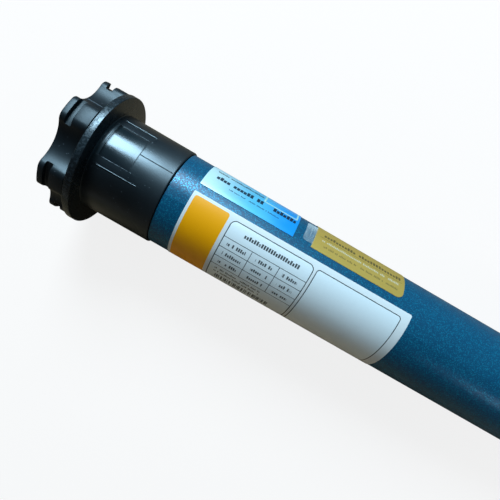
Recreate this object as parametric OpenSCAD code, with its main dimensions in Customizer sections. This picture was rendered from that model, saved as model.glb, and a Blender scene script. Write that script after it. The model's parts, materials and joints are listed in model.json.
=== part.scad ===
// Tubular roller blind motor, in millimetres.
// The motor axis is X: the fixed star head is towards -X, the output shaft towards +X, and +Z is up.
// The origin is on the axis, at the crown face that stops the roller tube.
// Angles about the axis turn right-handed about +X and start at the top.

/* [Star head] */
// Diameter over the lobes of the star
star_d = 62; // [58:0.5:66]
// Length of the star along the axis
star_len = 11.9; // [9:0.1:16]
// Number of lobes
lobe_count = 6; // [5:1:7]
// Angle of the first lobe
lobe_angle = -21.9; // [-30:0.1:30]
// Radius of the star at the bottom of a valley
valley_r = 24.8; // [23:0.1:26]
// Radius of the round scallop between two lobes
scallop_r = 14; // [12:0.5:15]
// Radius of the corners of a lobe
corner_r = 3.8; // [1:0.1:4.5]
// Width of the groove that takes the bracket's spring clip
groove_w = 2.9; // [1.5:0.1:3.5]
// Depth of that groove
groove_depth = 2.2; // [1:0.1:3]
// Distance of that groove from the end face
groove_edge = 2.6; // [1:0.1:3]
// Wall of the hollow head
head_wall = 2.5; // [1.8:0.1:3]
// Thickness of the head's closed end, cover included
end_wall = 7.2; // [6:0.1:8]
// Length of the head inside the motor tube
spigot_len = 26; // [20:1:40]

/* [Cable inlet] */
// Diameter of the end cover
cover_d = 38; // [36:0.5:40]
// Thickness of the end cover
cover_t = 2.2; // [1.5:0.1:3]
// Diameter of the opening behind the end cover
cover_hole_d = 28; // [27:0.5:29]
// Diameter of the circle that the cover screws stand on
cover_screw_circle = 33; // [32:0.5:34]
// Angle of the first cover screw
cover_screw_angle = 60; // [0:5:120]
// Number of cover screws
cover_screw_count = 3; // [2:1:4]
// Diameter of the cover screws
cover_screw_d = 2; // [1.6:0.1:2.4]
// Length of a cover screw under its head
cover_screw_len = 6; // [4:0.5:7]
// Diameter of a cover screw's head
cover_screw_head_d = 3.6; // [3:0.1:4]
// Height of a cover screw's head
cover_screw_head_h = 1.2; // [0.8:0.1:1.4]
// Outer width of the socket
socket_w = 20; // [18:0.5:22]
// Outer height of the socket
socket_h = 12; // [11:0.5:13]
// Length of the socket
socket_len = 19; // [17:0.5:24]
// Wall of the socket
socket_wall = 1.6; // [1.2:0.1:2]
// Depth of the socket
socket_depth = 13; // [11:0.5:14]
// Number of contact pins
pin_count = 4; // [3:1:5]
// Diameter of a contact pin
pin_d = 1.6; // [1:0.1:2]
// Distance between contact pins
pin_pitch = 3.9; // [3:0.1:4]
// Free length of a contact pin in the socket
pin_free_len = 6; // [4:0.5:7]
// Length of a contact pin's tail behind the socket
pin_tail_len = 4; // [2:0.5:6]

/* [Crown] */
// Diameter of the crown's sleeve
crown_d = 46.5; // [46:0.1:47]
// Length of the sleeve from the tube stop
crown_len = 33.5; // [30:0.5:45]
// Diameter of the flange
flange_d = 63; // [56:0.5:68]
// Thickness of the flange
flange_t = 3.2; // [2:0.1:5]
// Angle of the middle of the smooth pad
pad_angle = -22.3; // [-40:0.1:0]
// Angle that the pad spans
pad_span = 43.4; // [30:0.1:50]
// Depth of the pad below the sleeve
pad_depth = 0.1; // [0.05:0.05:0.2]
// Start of the pad, from the tube stop
pad_start = 2.5; // [1:0.1:4]
// End of the pad, from the tube stop
pad_end = 16.9; // [12:0.1:25]
// Angle that a centring rib beside the pad spans
rib_span = 10; // [6:0.5:12]
// Height of a centring rib
rib_h = 0.08; // [0.04:0.01:0.09]
// End of a centring rib, from the tube stop
rib_end = 18; // [12:0.5:28]

/* [Turn counter] */
// Module of the teeth inside the crown
counter_module = 0.5; // [0.45:0.01:0.5]
// Teeth inside the crown
crown_teeth = 88; // [86:1:88]
// Teeth of the pinion
pinion_teeth = 20; // [18:1:22]
// Width of the tooth band inside the crown
counter_band_w = 6; // [4:0.5:7]
// Start of the tooth band, from the tube stop
counter_band_start = 20; // [18:0.5:22]
// Width of the pinion
pinion_w = 5; // [3:0.5:6]
// Diameter of the pinion's axle
counter_axle_d = 2.4; // [2:0.1:3]
// Diameter of the magnet
magnet_d = 7.6; // [6:0.1:7.8]
// Thickness of the magnet
magnet_t = 2; // [1:0.5:2.5]
// Thickness of a cheek of the bracket
cheek_t = 2.5; // [2:0.5:3]
// Width of the bracket
bracket_w = 16; // [12:1:18]
// Thickness of the bridge between the cheeks
bridge_t = 2.5; // [2:0.5:3]

/* [Motor tube] */
// Outer diameter of the motor tube
tube_d = 45; // [44:0.1:45.4]
// Wall of the motor tube
tube_wall = 1.2; // [1:0.1:1.4]
// Diameter of a rivet's shank
rivet_d = 3.2; // [2.4:0.1:4]
// Diameter of a rivet's head
rivet_head_d = 6; // [5:0.1:7]
// Height of a rivet's head
rivet_head_h = 0.45; // [0.3:0.05:0.5]
// Angles of the rivets in the head
head_rivet_angles = [120, 240]; // [0:5:360]
// Angles of the rivets in the output cover
output_rivet_angles = [45, 135, 225, 315]; // [0:5:360]

/* [Labels] */
// Thickness of the labels
label_t = 0.12; // [0.05:0.01:0.2]
// Rating label: start along the axis
rating_start = 44.1; // [40:0.1:60]
// Rating label: length along the axis
rating_len = 108; // [80:0.5:140]
// Rating label: angle of its upper edge
rating_angle = -20; // [-30:0.5:-10]
// Rating label: angle that it spans
rating_span = 116; // [90:1:140]
// Information sticker: start along the axis
info_start = 44.3; // [40:0.1:60]
// Information sticker: length along the axis
info_len = 45.6; // [30:0.1:50]
// Information sticker: angle of its lower edge
info_angle = -30.3; // [-40:0.1:-25]
// Information sticker: angle that it spans
info_span = 66; // [50:1:80]
// Seal: start along the axis
seal_start = 98.8; // [95:0.1:120]
// Seal: length along the axis
seal_len = 46.2; // [30:0.1:60]
// Seal: angle of its lower edge
seal_angle = -30.6; // [-40:0.1:-25]
// Seal: angle that it spans
seal_span = 70; // [50:1:80]

/* [Electronics] */
// Length of the board carrier
board_carrier_len = 165; // [140:5:200]
// Wall of the board carrier
board_carrier_wall = 2; // [1.5:0.1:2.5]
// Thickness of the carrier's end walls
bulkhead_t = 3; // [2:0.5:5]
// Radius of the wire opening in an end wall
wire_hole_r = 6; // [4:0.5:7]
// Distance of the wire opening from the axis
wire_hole_offset = 10; // [9:0.5:12]
// Width of the control board
board_w = 36; // [32:1:37]
// Thickness of the control board
board_t = 1.6; // [1.2:0.1:2]
// Free length at each end of the control board
board_end_gap = 0.3; // [0.1:0.1:2]
// Width of a rail under the control board
rail_w = 3.6; // [3:0.1:4]
// Height of a rail under the control board
rail_h = 2; // [1:0.5:3]
// Length, width and height of a relay
relay_size = [19, 12, 13]; // [8:0.5:24]
// Distance between the two relays' starts
relay_pitch = 24; // [20:1:30]
// Length, width and height of the terminal block
terminal_size = [10, 24, 11]; // [6:0.5:30]
// Diameter of the line filter's ring core
filter_d = 18; // [14:1:22]
// Bore of the line filter's ring core
filter_bore_d = 8; // [5:1:10]
// Height of the line filter's ring core
filter_h = 8; // [6:1:10]
// Diameter of the smoothing capacitor
smoothing_d = 13; // [10:1:16]
// Height of the smoothing capacitor
smoothing_h = 15; // [10:1:16]
// Free length between two parts on the board
board_part_gap = 7; // [3:1:10]
// Diameter of the run capacitor
run_cap_d = 30; // [25:1:34]
// Length of the run capacitor
run_cap_len = 65; // [50:1:90]
// Free length at each end of the run capacitor
run_cap_end_gap = 12; // [8:1:30]
// Width of a clamp ring round the run capacitor
clamp_w = 9; // [6:1:14]

/* [Motor] */
// Thickness of a motor end shield
shield_t = 11; // [9:0.5:14]
// Wall of an end shield's skirt
skirt_wall = 1.8; // [1.2:0.1:2]
// Room inside an end shield for the end turns
end_turn_room = 13; // [11:0.5:18]
// Length of the stator core
core_len = 80; // [50:1:100]
// Bore of the stator core
stator_bore_d = 26.4; // [25.5:0.1:27]
// Number of stator slots
slot_count = 12; // [8:1:14]
// Diameter of a stator slot
slot_d = 3.6; // [3:0.1:4]
// Distance of the slots from the axis
slot_offset = 16.5; // [16:0.1:17]
// Inner radius of the end turns
end_turn_r0 = 14.4; // [14.2:0.1:15]
// Outer radius of the end turns
end_turn_r1 = 18.6; // [18.2:0.1:19]
// Length of the end turns beyond the core
end_turn_len = 10; // [7:0.5:11]
// Length of the rotor's end rings
rotor_ring_len = 4; // [2:0.5:5]
// Diameter of the rotor's shaft
shaft_d = 8; // [7:0.5:9]
// Outer diameter of a rotor bearing
bearing_d = 22; // [19:0.5:24]
// Width of a rotor bearing
bearing_w = 7; // [5:0.5:8]

/* [Brake] */
// Inner diameter of the brake lining
lining_d0 = 18; // [14:1:20]
// Outer diameter of the brake disc and its lining
brake_d = 35; // [32:0.5:37]
// Thickness of the brake lining
lining_t = 2.5; // [1.5:0.5:4]
// Thickness of the brake disc
brake_disc_t = 4; // [3:0.5:6]
// Length of the fitted brake spring
spring_len = 12; // [10:0.5:18]
// Mean diameter of the brake spring
spring_d = 13; // [11:0.5:16]
// Wire diameter of the brake spring
spring_wire_d = 1.4; // [1:0.1:1.6]
// Turns of the brake spring
spring_turns = 5; // [4:1:6]
// Outer diameter of the spring collar
collar_d = 17; // [16:0.5:20]
// Thickness of the spring collar
collar_t = 3; // [2:0.5:5]
// Free length behind the spring collar
collar_gap = 3; // [1:0.5:8]
// Wall of the brake housing
brake_housing_wall = 2; // [1.5:0.1:2.4]

/* [Gearbox] */
// Module of the gearbox teeth
gear_module = 0.48; // [0.44:0.01:0.48]
// Teeth of the ring gear
ring_teeth = 75; // [69:6:75]
// Teeth of the sun gear in each stage
sun_teeth = [15, 15, 21]; // [15:6:21]
// Width of the planet gears in each stage
planet_w = [9, 11, 15]; // [6:0.5:24]
// Thickness of the carrier disc in each stage
carrier_t = [5, 6, 9]; // [4:0.5:14]
// Diameter of the planet pins in each stage
planet_pin_d = [4, 4, 5]; // [2:0.1:6]
// Gap between a carrier disc and the ring gear's teeth
carrier_gap = 0.5; // [0.3:0.1:1.5]
// Thickness of the gearbox cover
gearbox_cover_t = 5; // [4:0.5:8]
// Diameter of the shaft's tip in the sun gear
shaft_tip_d = 3.6; // [2.4:0.1:4]

/* [Output] */
// Length of the output cover inside the tube
output_cover_len = 46; // [30:1:70]
// Thickness of the output cover's rim at the tube's end
output_rim_t = 4; // [2:0.5:6]
// Diameter of the output shaft in its bush
output_d = 16; // [14:0.5:18]
// Outer diameter of the bush
bush_d = 22; // [20:0.5:26]
// Diameter of the free end of the output shaft
drive_d = 14; // [12:0.5:15]
// Length of the free end of the output shaft
drive_len = 26; // [20:0.5:35]
// Depth of the flat on the free end
drive_flat = 1; // [0.5:0.1:1.4]
// Width of the clip groove near the free end
clip_groove_w = 1.3; // [1:0.1:1.6]
// Depth of the clip groove
clip_groove_depth = 1; // [0.6:0.1:1.2]
// Distance of the clip groove from the shaft's end
clip_edge = 3; // [2:0.5:5]

/* [Edges] */
// Chamfer of the outer edges
edge = 0.4; // [0.2:0.1:0.8]

/* [Fits] */
// Radial clearance of a running fit
running_fit = 0.06; // [0.03:0.01:0.09]
// Radial clearance of the head in the motor tube
spigot_fit = 0.1; // [0.05:0.01:0.15]
// Radial clearance of the pieces that slide into the motor tube
inner_fit = 0.2; // [0.1:0.05:0.25]
// Clearance round small fixed pieces
seat_fit = 0.05; // [0.03:0.01:0.1]
// Gap between the crown and what stands at its ends
crown_end_gap = 0.4; // [0.2:0.1:0.8]
// Gap between faces that turn past each other
face_gap = 0.3; // [0.2:0.1:0.5]
// Gap between the rotor and the stator
air_gap = 0.3; // [0.3:0.05:0.5]
// Set-back of each tooth flank
flank_gap = 0.05; // [0.04:0.01:0.06]

/* [Hidden] */
$fn = 96;

// How far a cut runs past the face that it opens
over = 1;

// Radii across the motor
tube_r = tube_d / 2;
tube_bore_r = tube_r - tube_wall;
inner_r = tube_bore_r - inner_fit;
spigot_r = tube_bore_r - spigot_fit;
head_bore_r = spigot_r - head_wall;
star_r = star_d / 2;
crown_r = crown_d / 2;
crown_bore_r = spigot_r + running_fit;
shaft_r = shaft_d / 2;
stator_bore_r = stator_bore_d / 2;
rotor_r = stator_bore_r - air_gap;

// Centres of the scallops and of the lobes' round corners; the angle lies between the two
scallop_c = valley_r + scallop_r;
corner_c = star_r - corner_r;
corner_angle = acos(
    (pow(corner_c, 2) + pow(scallop_c, 2) - pow(scallop_r + corner_r, 2)) / (2 * corner_c * scallop_c)
);

// Places along the axis, from the head to the output
star_x1 = -flange_t - crown_end_gap;
star_x0 = star_x1 - star_len;
cover_x1 = star_x0 + cover_t;
end_wall_x1 = star_x0 + end_wall;
socket_floor_x = star_x0 + socket_depth;
tube_x0 = crown_len + crown_end_gap;
spigot_x1 = tube_x0 + spigot_len;
head_rivet_x = tube_x0 + spigot_len / 2;
board_x0 = spigot_x1 + bulkhead_t + board_end_gap;
board_carrier_x1 = spigot_x1 + board_carrier_len;
rail_y = inner_r - board_carrier_wall / 2 - rail_w / 2;
board_x1 = board_carrier_x1 - bulkhead_t - board_end_gap;
run_cap_x0 = board_carrier_x1 + run_cap_end_gap;
run_cap_x1 = run_cap_x0 + run_cap_len;
motor_x0 = run_cap_x1 + run_cap_end_gap;
front_shield_x1 = motor_x0 + shield_t;
core_x0 = front_shield_x1 + end_turn_room;
core_x1 = core_x0 + core_len;
rear_shield_x0 = core_x1 + end_turn_room;
brake_x0 = rear_shield_x0 + shield_t;
lining_x1 = brake_x0 + lining_t;
brake_disc_x0 = lining_x1 + seat_fit;
brake_disc_x1 = brake_disc_x0 + brake_disc_t;
collar_x0 = brake_disc_x1 + spring_len;
collar_x1 = collar_x0 + collar_t;
gearbox_x0 = collar_x1 + collar_gap;
ring_x0 = gearbox_x0 + gearbox_cover_t;

// Tooth form: pressure angle, height above and depth below the pitch circle in modules
pressure_angle = 20;
addendum = 0.95;
dedendum = 1.25;
flank_steps = 3;

// Turn counter: the pinion hangs at the bottom and reaches the crown through a window in the head
counter_pitch_r = crown_teeth * counter_module / 2;
pinion_offset = counter_pitch_r - pinion_teeth * counter_module / 2;
counter_angle = 180;
pinion_x0 = counter_band_start + (counter_band_w - pinion_w) / 2;
pinion_x1 = pinion_x0 + pinion_w;
magnet_x1 = pinion_x1 + magnet_t;
cheek_x0 = pinion_x0 - face_gap - cheek_t;
cheek_x1 = magnet_x1 + face_gap + cheek_t;
pinion_tip_r = (pinion_teeth / 2 + addendum) * counter_module;
window_play = 0.6;
window_w = 2 * (pinion_tip_r + window_play);
window_len = magnet_x1 - counter_band_start + 2 * window_play;

// Radial room round the rotor's shaft where it only passes through
shaft_play = 0.6;

// Gearbox stages, each with three planet gears
planet_angle = 120;
carrier_r = (ring_teeth / 2 - addendum) * gear_module - carrier_gap;
planet_teeth = [for (z = sun_teeth) (ring_teeth - z) / 2];
stage_offset = [for (i = [0 : 2]) (sun_teeth[i] + planet_teeth[i]) * gear_module / 2];
stage_len = [for (i = [0 : 2]) planet_w[i] + carrier_t[i] + 2 * face_gap];
stage_x0 = [ring_x0, ring_x0 + stage_len[0], ring_x0 + stage_len[0] + stage_len[1]];
planet_x0 = [for (x = stage_x0) x + face_gap];
carrier_disc_x0 = [for (i = [0 : 2]) planet_x0[i] + planet_w[i] + face_gap];
ring_x1 = stage_x0[2] + stage_len[2] + face_gap;
tube_x1 = ring_x1 + output_cover_len;
drive_x0 = tube_x1 + output_rim_t;
drive_x1 = drive_x0 + drive_len;
output_rivet_x = tube_x1 - output_cover_len / 3;

// Inner ends of the rivets
head_rivet_r0 = head_bore_r + seat_fit;
output_rivet_r0 = (bush_d / 2 + inner_r) / 2;

// Stands a shape drawn along Z on the motor axis: its start is at x and its own +X points up
module on_axis(x = 0) translate([x, 0, 0]) rotate([0, 90, 0]) rotate([0, 0, 180]) children();

// Round bar on the motor axis
module rod(x0, x1, r) on_axis(x0) cylinder(h = x1 - x0, r = r);

// Round bar on the motor axis with a chamfer at its start and its end
module edged_rod(x0, x1, r, start, end) on_axis() rotate_extrude() polygon([
    [0, x0], [r - start, x0], [r, x0 + start], [r, x1 - end], [r - end, x1], [0, x1]
]);

// Round ring on the motor axis
module ring(x0, x1, r0, r1) difference() {
    rod(x0, x1, r1);
    rod(x0 - over, x1 + over, r0);
}

// Part of a ring, from one angle on
module arc_band(x0, len, r0, r1, angle, span) on_axis(x0) rotate([0, 0, angle])
    rotate_extrude(angle = span) translate([r0, 0]) square([r1 - r0, len]);

// Turns a shape that points up to an angle about the motor axis
module at_angle(angle, x = 0) translate([x, 0, 0]) rotate([angle, 0, 0]) children();

function involute(a) = tan(a) * 180 / PI - a;
function polar(r, a) = [r * cos(a), r * sin(a)];

// Half the angle of a tooth at radius r, with its flanks set back by gap
function half_tooth(teeth, m, r, gap) =
    90 / teeth + involute(pressure_angle)
    - involute(acos(min(1, teeth * m / 2 * cos(pressure_angle) / r))) - gap * 180 / PI / r;

// Outline of a gear wheel with a tooth at angle 0; a gap below 0 gives the space inside a ring gear
function gear_outline(teeth, m, above, below, gap) =
    let (pitch_r = teeth * m / 2)
    let (tip_r = pitch_r + above * m)
    let (root_r = pitch_r - below * m)
    let (start_r = max(root_r, pitch_r * cos(pressure_angle)))
    let (radii = [for (i = [0 : flank_steps]) start_r + (tip_r - start_r) * i / flank_steps])
    let (all = root_r < start_r ? concat([root_r], radii) : radii)
    let (last = len(all) - 1)
    let (flank = [for (r = all) half_tooth(teeth, m, max(r, start_r), gap)])
    [for (t = [0 : teeth - 1]) each concat(
        [for (i = [0 : last]) polar(all[i], 360 * t / teeth - flank[i])],
        [for (i = [last : -1 : 0]) polar(all[i], 360 * t / teeth + flank[i])]
    )];

module gear(teeth, m) polygon(gear_outline(teeth, m, addendum, dedendum, flank_gap));
module gear_space(teeth, m) polygon(gear_outline(teeth, m, dedendum, addendum, -flank_gap));

// Angle of a wheel's first tooth so that it meshes inside a ring gear, at an angle about the axis
function wheel_phase(angle, teeth, outer_teeth) = angle * (1 - outer_teeth / teeth);
// Angle of a sun gear's first tooth so that it meshes with a wheel at the top
function sun_phase(sun, teeth) = 180 * (teeth - 1) / sun;

// Head

// What the round corner takes off a lobe: the corner's centre is on +X, the scallop's at an angle
module corner_waste(angle) difference() {
    let (to_scallop = polar(scallop_c, angle) - [corner_c, 0])
    let (reach = to_scallop * (corner_r + over) / norm(to_scallop))
    polygon([
        [corner_c, 0], [star_r + over, 0], [star_r + over, 0] + reach, [corner_c, 0] + reach
    ]);
    translate([corner_c, 0]) circle(corner_r);
}

module star_outline() difference() {
    circle(star_r);
    for (i = [0 : lobe_count - 1]) rotate(lobe_angle + (i + 0.5) * 360 / lobe_count) {
        translate([scallop_c, 0]) circle(scallop_r);
        for (side = [-1, 1]) rotate(side * corner_angle) corner_waste(-side * corner_angle);
    }
}

module star_block() difference() {
    intersection() {
        on_axis(star_x0) linear_extrude(star_len) star_outline();
        edged_rod(star_x0, star_x1, star_r, edge, edge);
    }
    ring(star_x0 + groove_edge, star_x0 + groove_edge + groove_w, star_r - groove_depth, star_r + over);
}

module cover_screw_places() for (i = [0 : cover_screw_count - 1])
    at_angle(cover_screw_angle + i * 360 / cover_screw_count)
        translate([0, 0, cover_screw_circle / 2]) children();

module star_head() color("#1b1d20") difference() {
    union() {
        star_block();
        rod(star_x1, spigot_x1, spigot_r);
    }
    rod(end_wall_x1, spigot_x1 + over, head_bore_r);
    rod(star_x0 - over, cover_x1, cover_d / 2 + seat_fit);
    rod(star_x0 - over, end_wall_x1 + over, cover_hole_d / 2);
    cover_screw_places() rod(cover_x1 - over, end_wall_x1 + over, cover_screw_d / 2 + seat_fit);
    at_angle(counter_angle, counter_band_start - window_play)
        translate([0, -window_w / 2, head_bore_r - head_wall]) cube([window_len, window_w, 3 * head_wall]);
    rivet_holes(head_rivet_x, head_rivet_angles, head_rivet_r0);
}

module end_cover() color("#26282b") difference() {
    rod(star_x0, cover_x1, cover_d / 2);
    cover_screw_places() {
        rod(star_x0 - over, cover_x1 + over, cover_screw_d / 2 + seat_fit);
        rod(star_x0 - over, star_x0 + cover_screw_head_h, cover_screw_head_d / 2 + seat_fit);
    }
    socket_block(star_x0 - over, cover_x1 + over, seat_fit);
}

module cover_screws() color("#9a9da0") cover_screw_places() {
    rod(star_x0 + cover_screw_head_h, star_x0 + cover_screw_head_h + cover_screw_len, cover_screw_d / 2);
    rod(star_x0, star_x0 + cover_screw_head_h, cover_screw_head_d / 2);
}

// Block of the socket's outline, grown by a margin
module socket_block(x0, x1, margin) translate([x0, -socket_w / 2 - margin, -socket_h / 2 - margin])
    cube([x1 - x0, socket_w + 2 * margin, socket_h + 2 * margin]);

module pin_places() for (i = [0 : pin_count - 1])
    translate([0, (i - (pin_count - 1) / 2) * pin_pitch, 0]) children();

module cable_socket() color("#101113") difference() {
    socket_block(star_x0, star_x0 + socket_len, 0);
    socket_block(star_x0 - over, socket_floor_x, -socket_wall);
    pin_places() rod(star_x0, star_x0 + socket_len + over, pin_d / 2 + seat_fit);
}

module socket_pins() color("#c9a24a") pin_places()
    rod(socket_floor_x - pin_free_len, star_x0 + socket_len + pin_tail_len, pin_d / 2);

// Crown and turn counter

module crown() color("#17191c") difference() {
    union() {
        edged_rod(-flange_t, 0, flange_d / 2, edge, edge);
        edged_rod(-flange_t, crown_len, crown_r, edge, edge);
        for (side = [-1, 1])
            arc_band(0, rib_end, crown_r - rib_h, crown_r + rib_h,
                pad_angle + side * (pad_span + rib_span) / 2 - rib_span / 2, rib_span);
    }
    rod(-flange_t - over, crown_len + over, crown_bore_r);
    on_axis(counter_band_start) linear_extrude(counter_band_w) gear_space(crown_teeth, counter_module);
    arc_band(pad_start, pad_end - pad_start, crown_r - pad_depth, crown_r + over,
        pad_angle - pad_span / 2, pad_span);
}

module encoder_bracket() color("#3a3d41") at_angle(counter_angle) difference() {
    intersection() {
        rod(cheek_x0, cheek_x1, head_bore_r - seat_fit);
        translate([cheek_x0, -bracket_w / 2, pinion_offset - pinion_tip_r - face_gap - bridge_t])
            cube([cheek_x1 - cheek_x0, bracket_w, head_bore_r]);
    }
    translate([cheek_x0 + cheek_t, -bracket_w / 2 - over, pinion_offset - pinion_tip_r - face_gap])
        cube([cheek_x1 - cheek_x0 - 2 * cheek_t, bracket_w + 2 * over, head_bore_r]);
    translate([0, 0, pinion_offset])
        rod(cheek_x0 - over, cheek_x1 + over, counter_axle_d / 2 + seat_fit);
}

// Moves a shape on the motor axis to the pinion's axis
module at_counter() at_angle(counter_angle) translate([0, 0, pinion_offset]) children();

module encoder_axle() color("#b8bbbe") at_counter() rod(cheek_x0, cheek_x1, counter_axle_d / 2);

module encoder_pinion() color("#e6e2d4") at_counter() difference() {
    on_axis(pinion_x0)
        rotate([0, 0, wheel_phase(counter_angle, pinion_teeth, crown_teeth) - counter_angle])
            linear_extrude(pinion_w) gear(pinion_teeth, counter_module);
    rod(pinion_x0 - over, pinion_x1 + over, counter_axle_d / 2 + running_fit);
}

module encoder_magnet() color("#4b4e52") at_counter()
    ring(pinion_x1, magnet_x1, counter_axle_d / 2 + running_fit, magnet_d / 2);

// Tube and labels

module rivet_holes(x, angles, r0) for (a = angles)
    at_angle(a, x) translate([0, 0, r0]) cylinder(h = tube_r, d = rivet_d + 2 * seat_fit);

module rivets(x, angles, r0) for (a = angles) at_angle(a, x) {
    translate([0, 0, r0]) cylinder(h = tube_r - r0, d = rivet_d);
    translate([0, 0, tube_r]) cylinder(h = rivet_head_h, d = rivet_head_d);
}

module motor_tube() color("#0d4a6e") difference() {
    ring(tube_x0, tube_x1, tube_bore_r, tube_r);
    rivet_holes(head_rivet_x, head_rivet_angles, head_rivet_r0);
    rivet_holes(output_rivet_x, output_rivet_angles, output_rivet_r0);
}

module head_rivets() color("#a9acae") rivets(head_rivet_x, head_rivet_angles, head_rivet_r0);
module output_rivets() color("#a9acae")
    rivets(output_rivet_x, output_rivet_angles, output_rivet_r0);

module label(x0, len, angle, span)
    arc_band(x0, len, tube_r + seat_fit, tube_r + seat_fit + label_t, angle, span);

module rating_label() color("#e9ebec") label(rating_start, rating_len, rating_angle, rating_span);
module info_sticker() color("#5fc4ee") label(info_start, info_len, info_angle - info_span, info_span);
module seal_sticker() color("#c9ae45") label(seal_start, seal_len, seal_angle - seal_span, seal_span);

// Electronics

module board_carrier() color("#d9d5c9") difference() {
    union() {
        intersection() {
            ring(spigot_x1, board_carrier_x1, inner_r - board_carrier_wall, inner_r);
            translate([spigot_x1, -tube_r, -tube_r]) cube([board_carrier_len, tube_d, tube_r]);
        }
        rod(spigot_x1, spigot_x1 + bulkhead_t, inner_r);
        rod(board_carrier_x1 - bulkhead_t, board_carrier_x1, inner_r);
        for (side = [-1, 1])
            translate([spigot_x1, side * rail_y - rail_w / 2, -rail_h])
                cube([board_carrier_len, rail_w, rail_h]);
    }
    for (side = [-1, 1])
        translate([0, 0, side * wire_hole_offset])
            rod(spigot_x1 - over, board_carrier_x1 + over, wire_hole_r);
}

module control_board() color("#1f6b3a") translate([board_x0, -board_w / 2, 0])
    cube([board_x1 - board_x0, board_w, board_t]);

// Parts that stand on the board, in order along it
terminal_x0 = board_x0 + board_part_gap;
relay_x0 = terminal_x0 + terminal_size[0] + board_part_gap;
filter_x = relay_x0 + relay_pitch + relay_size[0] + board_part_gap + filter_d / 2;
smoothing_x = filter_x + filter_d / 2 + board_part_gap + smoothing_d / 2;

module terminal_block() color("#2f7d4f") translate([terminal_x0, -terminal_size[1] / 2, board_t])
    cube(terminal_size);

module relays() color("#2b3f8f") for (i = [0, 1])
    translate([relay_x0 + i * relay_pitch, -relay_size[1] / 2, board_t]) cube(relay_size);

module line_filter() color("#7a4a24") translate([filter_x, 0, board_t]) difference() {
    cylinder(h = filter_h, d = filter_d);
    translate([0, 0, -over]) cylinder(h = filter_h + 2 * over, d = filter_bore_d);
}

module smoothing_capacitor() color("#20242c") translate([smoothing_x, 0, board_t])
    cylinder(h = smoothing_h, d = smoothing_d);

module run_capacitor() color("#e4e4e0") rod(run_cap_x0, run_cap_x1, run_cap_d / 2);

module capacitor_clamps() color("#55595d") for (x = [run_cap_x0, run_cap_x1 - clamp_w])
    ring(x, x + clamp_w, run_cap_d / 2 + seat_fit, inner_r);

// Motor

module front_shield() color("#a3a6a9") difference() {
    rod(motor_x0, core_x0, inner_r);
    rod(front_shield_x1, core_x0 + over, inner_r - skirt_wall);
    rod(front_shield_x1 - bearing_w, core_x0, bearing_d / 2 + seat_fit);
    rod(front_shield_x1 - bearing_w - face_gap, core_x0, shaft_r + shaft_play);
}

module rear_shield() color("#a3a6a9") difference() {
    rod(core_x1, brake_x0, inner_r);
    rod(core_x1 - over, rear_shield_x0, inner_r - skirt_wall);
    rod(core_x1, rear_shield_x0 + bearing_w, bearing_d / 2 + seat_fit);
    rod(core_x1, brake_x0 + over, shaft_r + shaft_play);
}

module rotor_bearings() color("#c4c7ca") for (x = [front_shield_x1 - bearing_w, rear_shield_x0])
    ring(x, x + bearing_w, shaft_r + running_fit, bearing_d / 2);

module slot_places() for (i = [0 : slot_count - 1])
    at_angle(i * 360 / slot_count) translate([0, 0, slot_offset]) children();

module stator_core() color("#6d7075") difference() {
    ring(core_x0, core_x1, stator_bore_r, inner_r);
    slot_places() rod(core_x0 - over, core_x1 + over, slot_d / 2);
}

module stator_winding() color("#b5652d") {
    ring(core_x0 - end_turn_len, core_x0, end_turn_r0, end_turn_r1);
    ring(core_x1, core_x1 + end_turn_len, end_turn_r0, end_turn_r1);
    slot_places() rod(core_x0 - over, core_x1 + over, slot_d / 2 - seat_fit);
}

module rotor_core() color("#7d8085") ring(core_x0, core_x1, shaft_r + seat_fit, rotor_r);

module rotor_rings() color("#bfc3c6") for (x = [core_x0 - rotor_ring_len, core_x1])
    ring(x, x + rotor_ring_len, shaft_r + seat_fit, rotor_r - air_gap);

module rotor_shaft() color("#c8cbce") union() {
    rod(front_shield_x1 - bearing_w, ring_x0, shaft_r);
    rod(ring_x0 - over, planet_x0[0] + planet_w[0], shaft_tip_d / 2);
}

// Brake

module brake_housing() color("#8d9094") ring(brake_x0, gearbox_x0, inner_r - brake_housing_wall, inner_r);
module brake_lining() color("#5a4632") ring(brake_x0, lining_x1, lining_d0 / 2, brake_d / 2);
module brake_disc() color("#9b9ea2") ring(brake_disc_x0, brake_disc_x1, shaft_r + running_fit, brake_d / 2);
module spring_collar() color("#8a8d91") ring(collar_x0, collar_x1, shaft_r + seat_fit, collar_d / 2);

// Points and faces of a round wire wound along the motor axis, as rings of the wire's section
spring_sides = 6;
spring_rings = 12;
spring_wire_r = spring_wire_d / 2;
spring_last = spring_turns * spring_rings;
spring_rise = (spring_len - spring_wire_d - 2 * seat_fit) / spring_last;
spring_points = [for (i = [0 : spring_last]) for (j = [0 : spring_sides - 1])
    let (a = 360 * i / spring_rings)
    let (b = 360 * j / spring_sides)
    let (r = spring_d / 2 + spring_wire_r * cos(b))
    [
        brake_disc_x1 + seat_fit + spring_wire_r + spring_rise * i + spring_wire_r * sin(b),
        -r * sin(a),
        r * cos(a)
    ]];
function spring_index(i, j) = i * spring_sides + j % spring_sides;
spring_faces = concat(
    [for (j = [1 : spring_sides - 2]) [0, j, j + 1]],
    [for (i = [0 : spring_last - 1]) for (j = [0 : spring_sides - 1])
        each [
            [spring_index(i, j), spring_index(i + 1, j), spring_index(i, j + 1)],
            [spring_index(i, j + 1), spring_index(i + 1, j), spring_index(i + 1, j + 1)]
        ]],
    [for (j = [1 : spring_sides - 2])
        [spring_index(spring_last, 0), spring_index(spring_last, j + 1), spring_index(spring_last, j)]]
);
module brake_spring() color("#b9bcc0") polyhedron(spring_points, spring_faces);

// Gearbox

module gearbox_cover() color("#8d9094") ring(gearbox_x0, ring_x0, shaft_r + shaft_play, inner_r);

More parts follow.
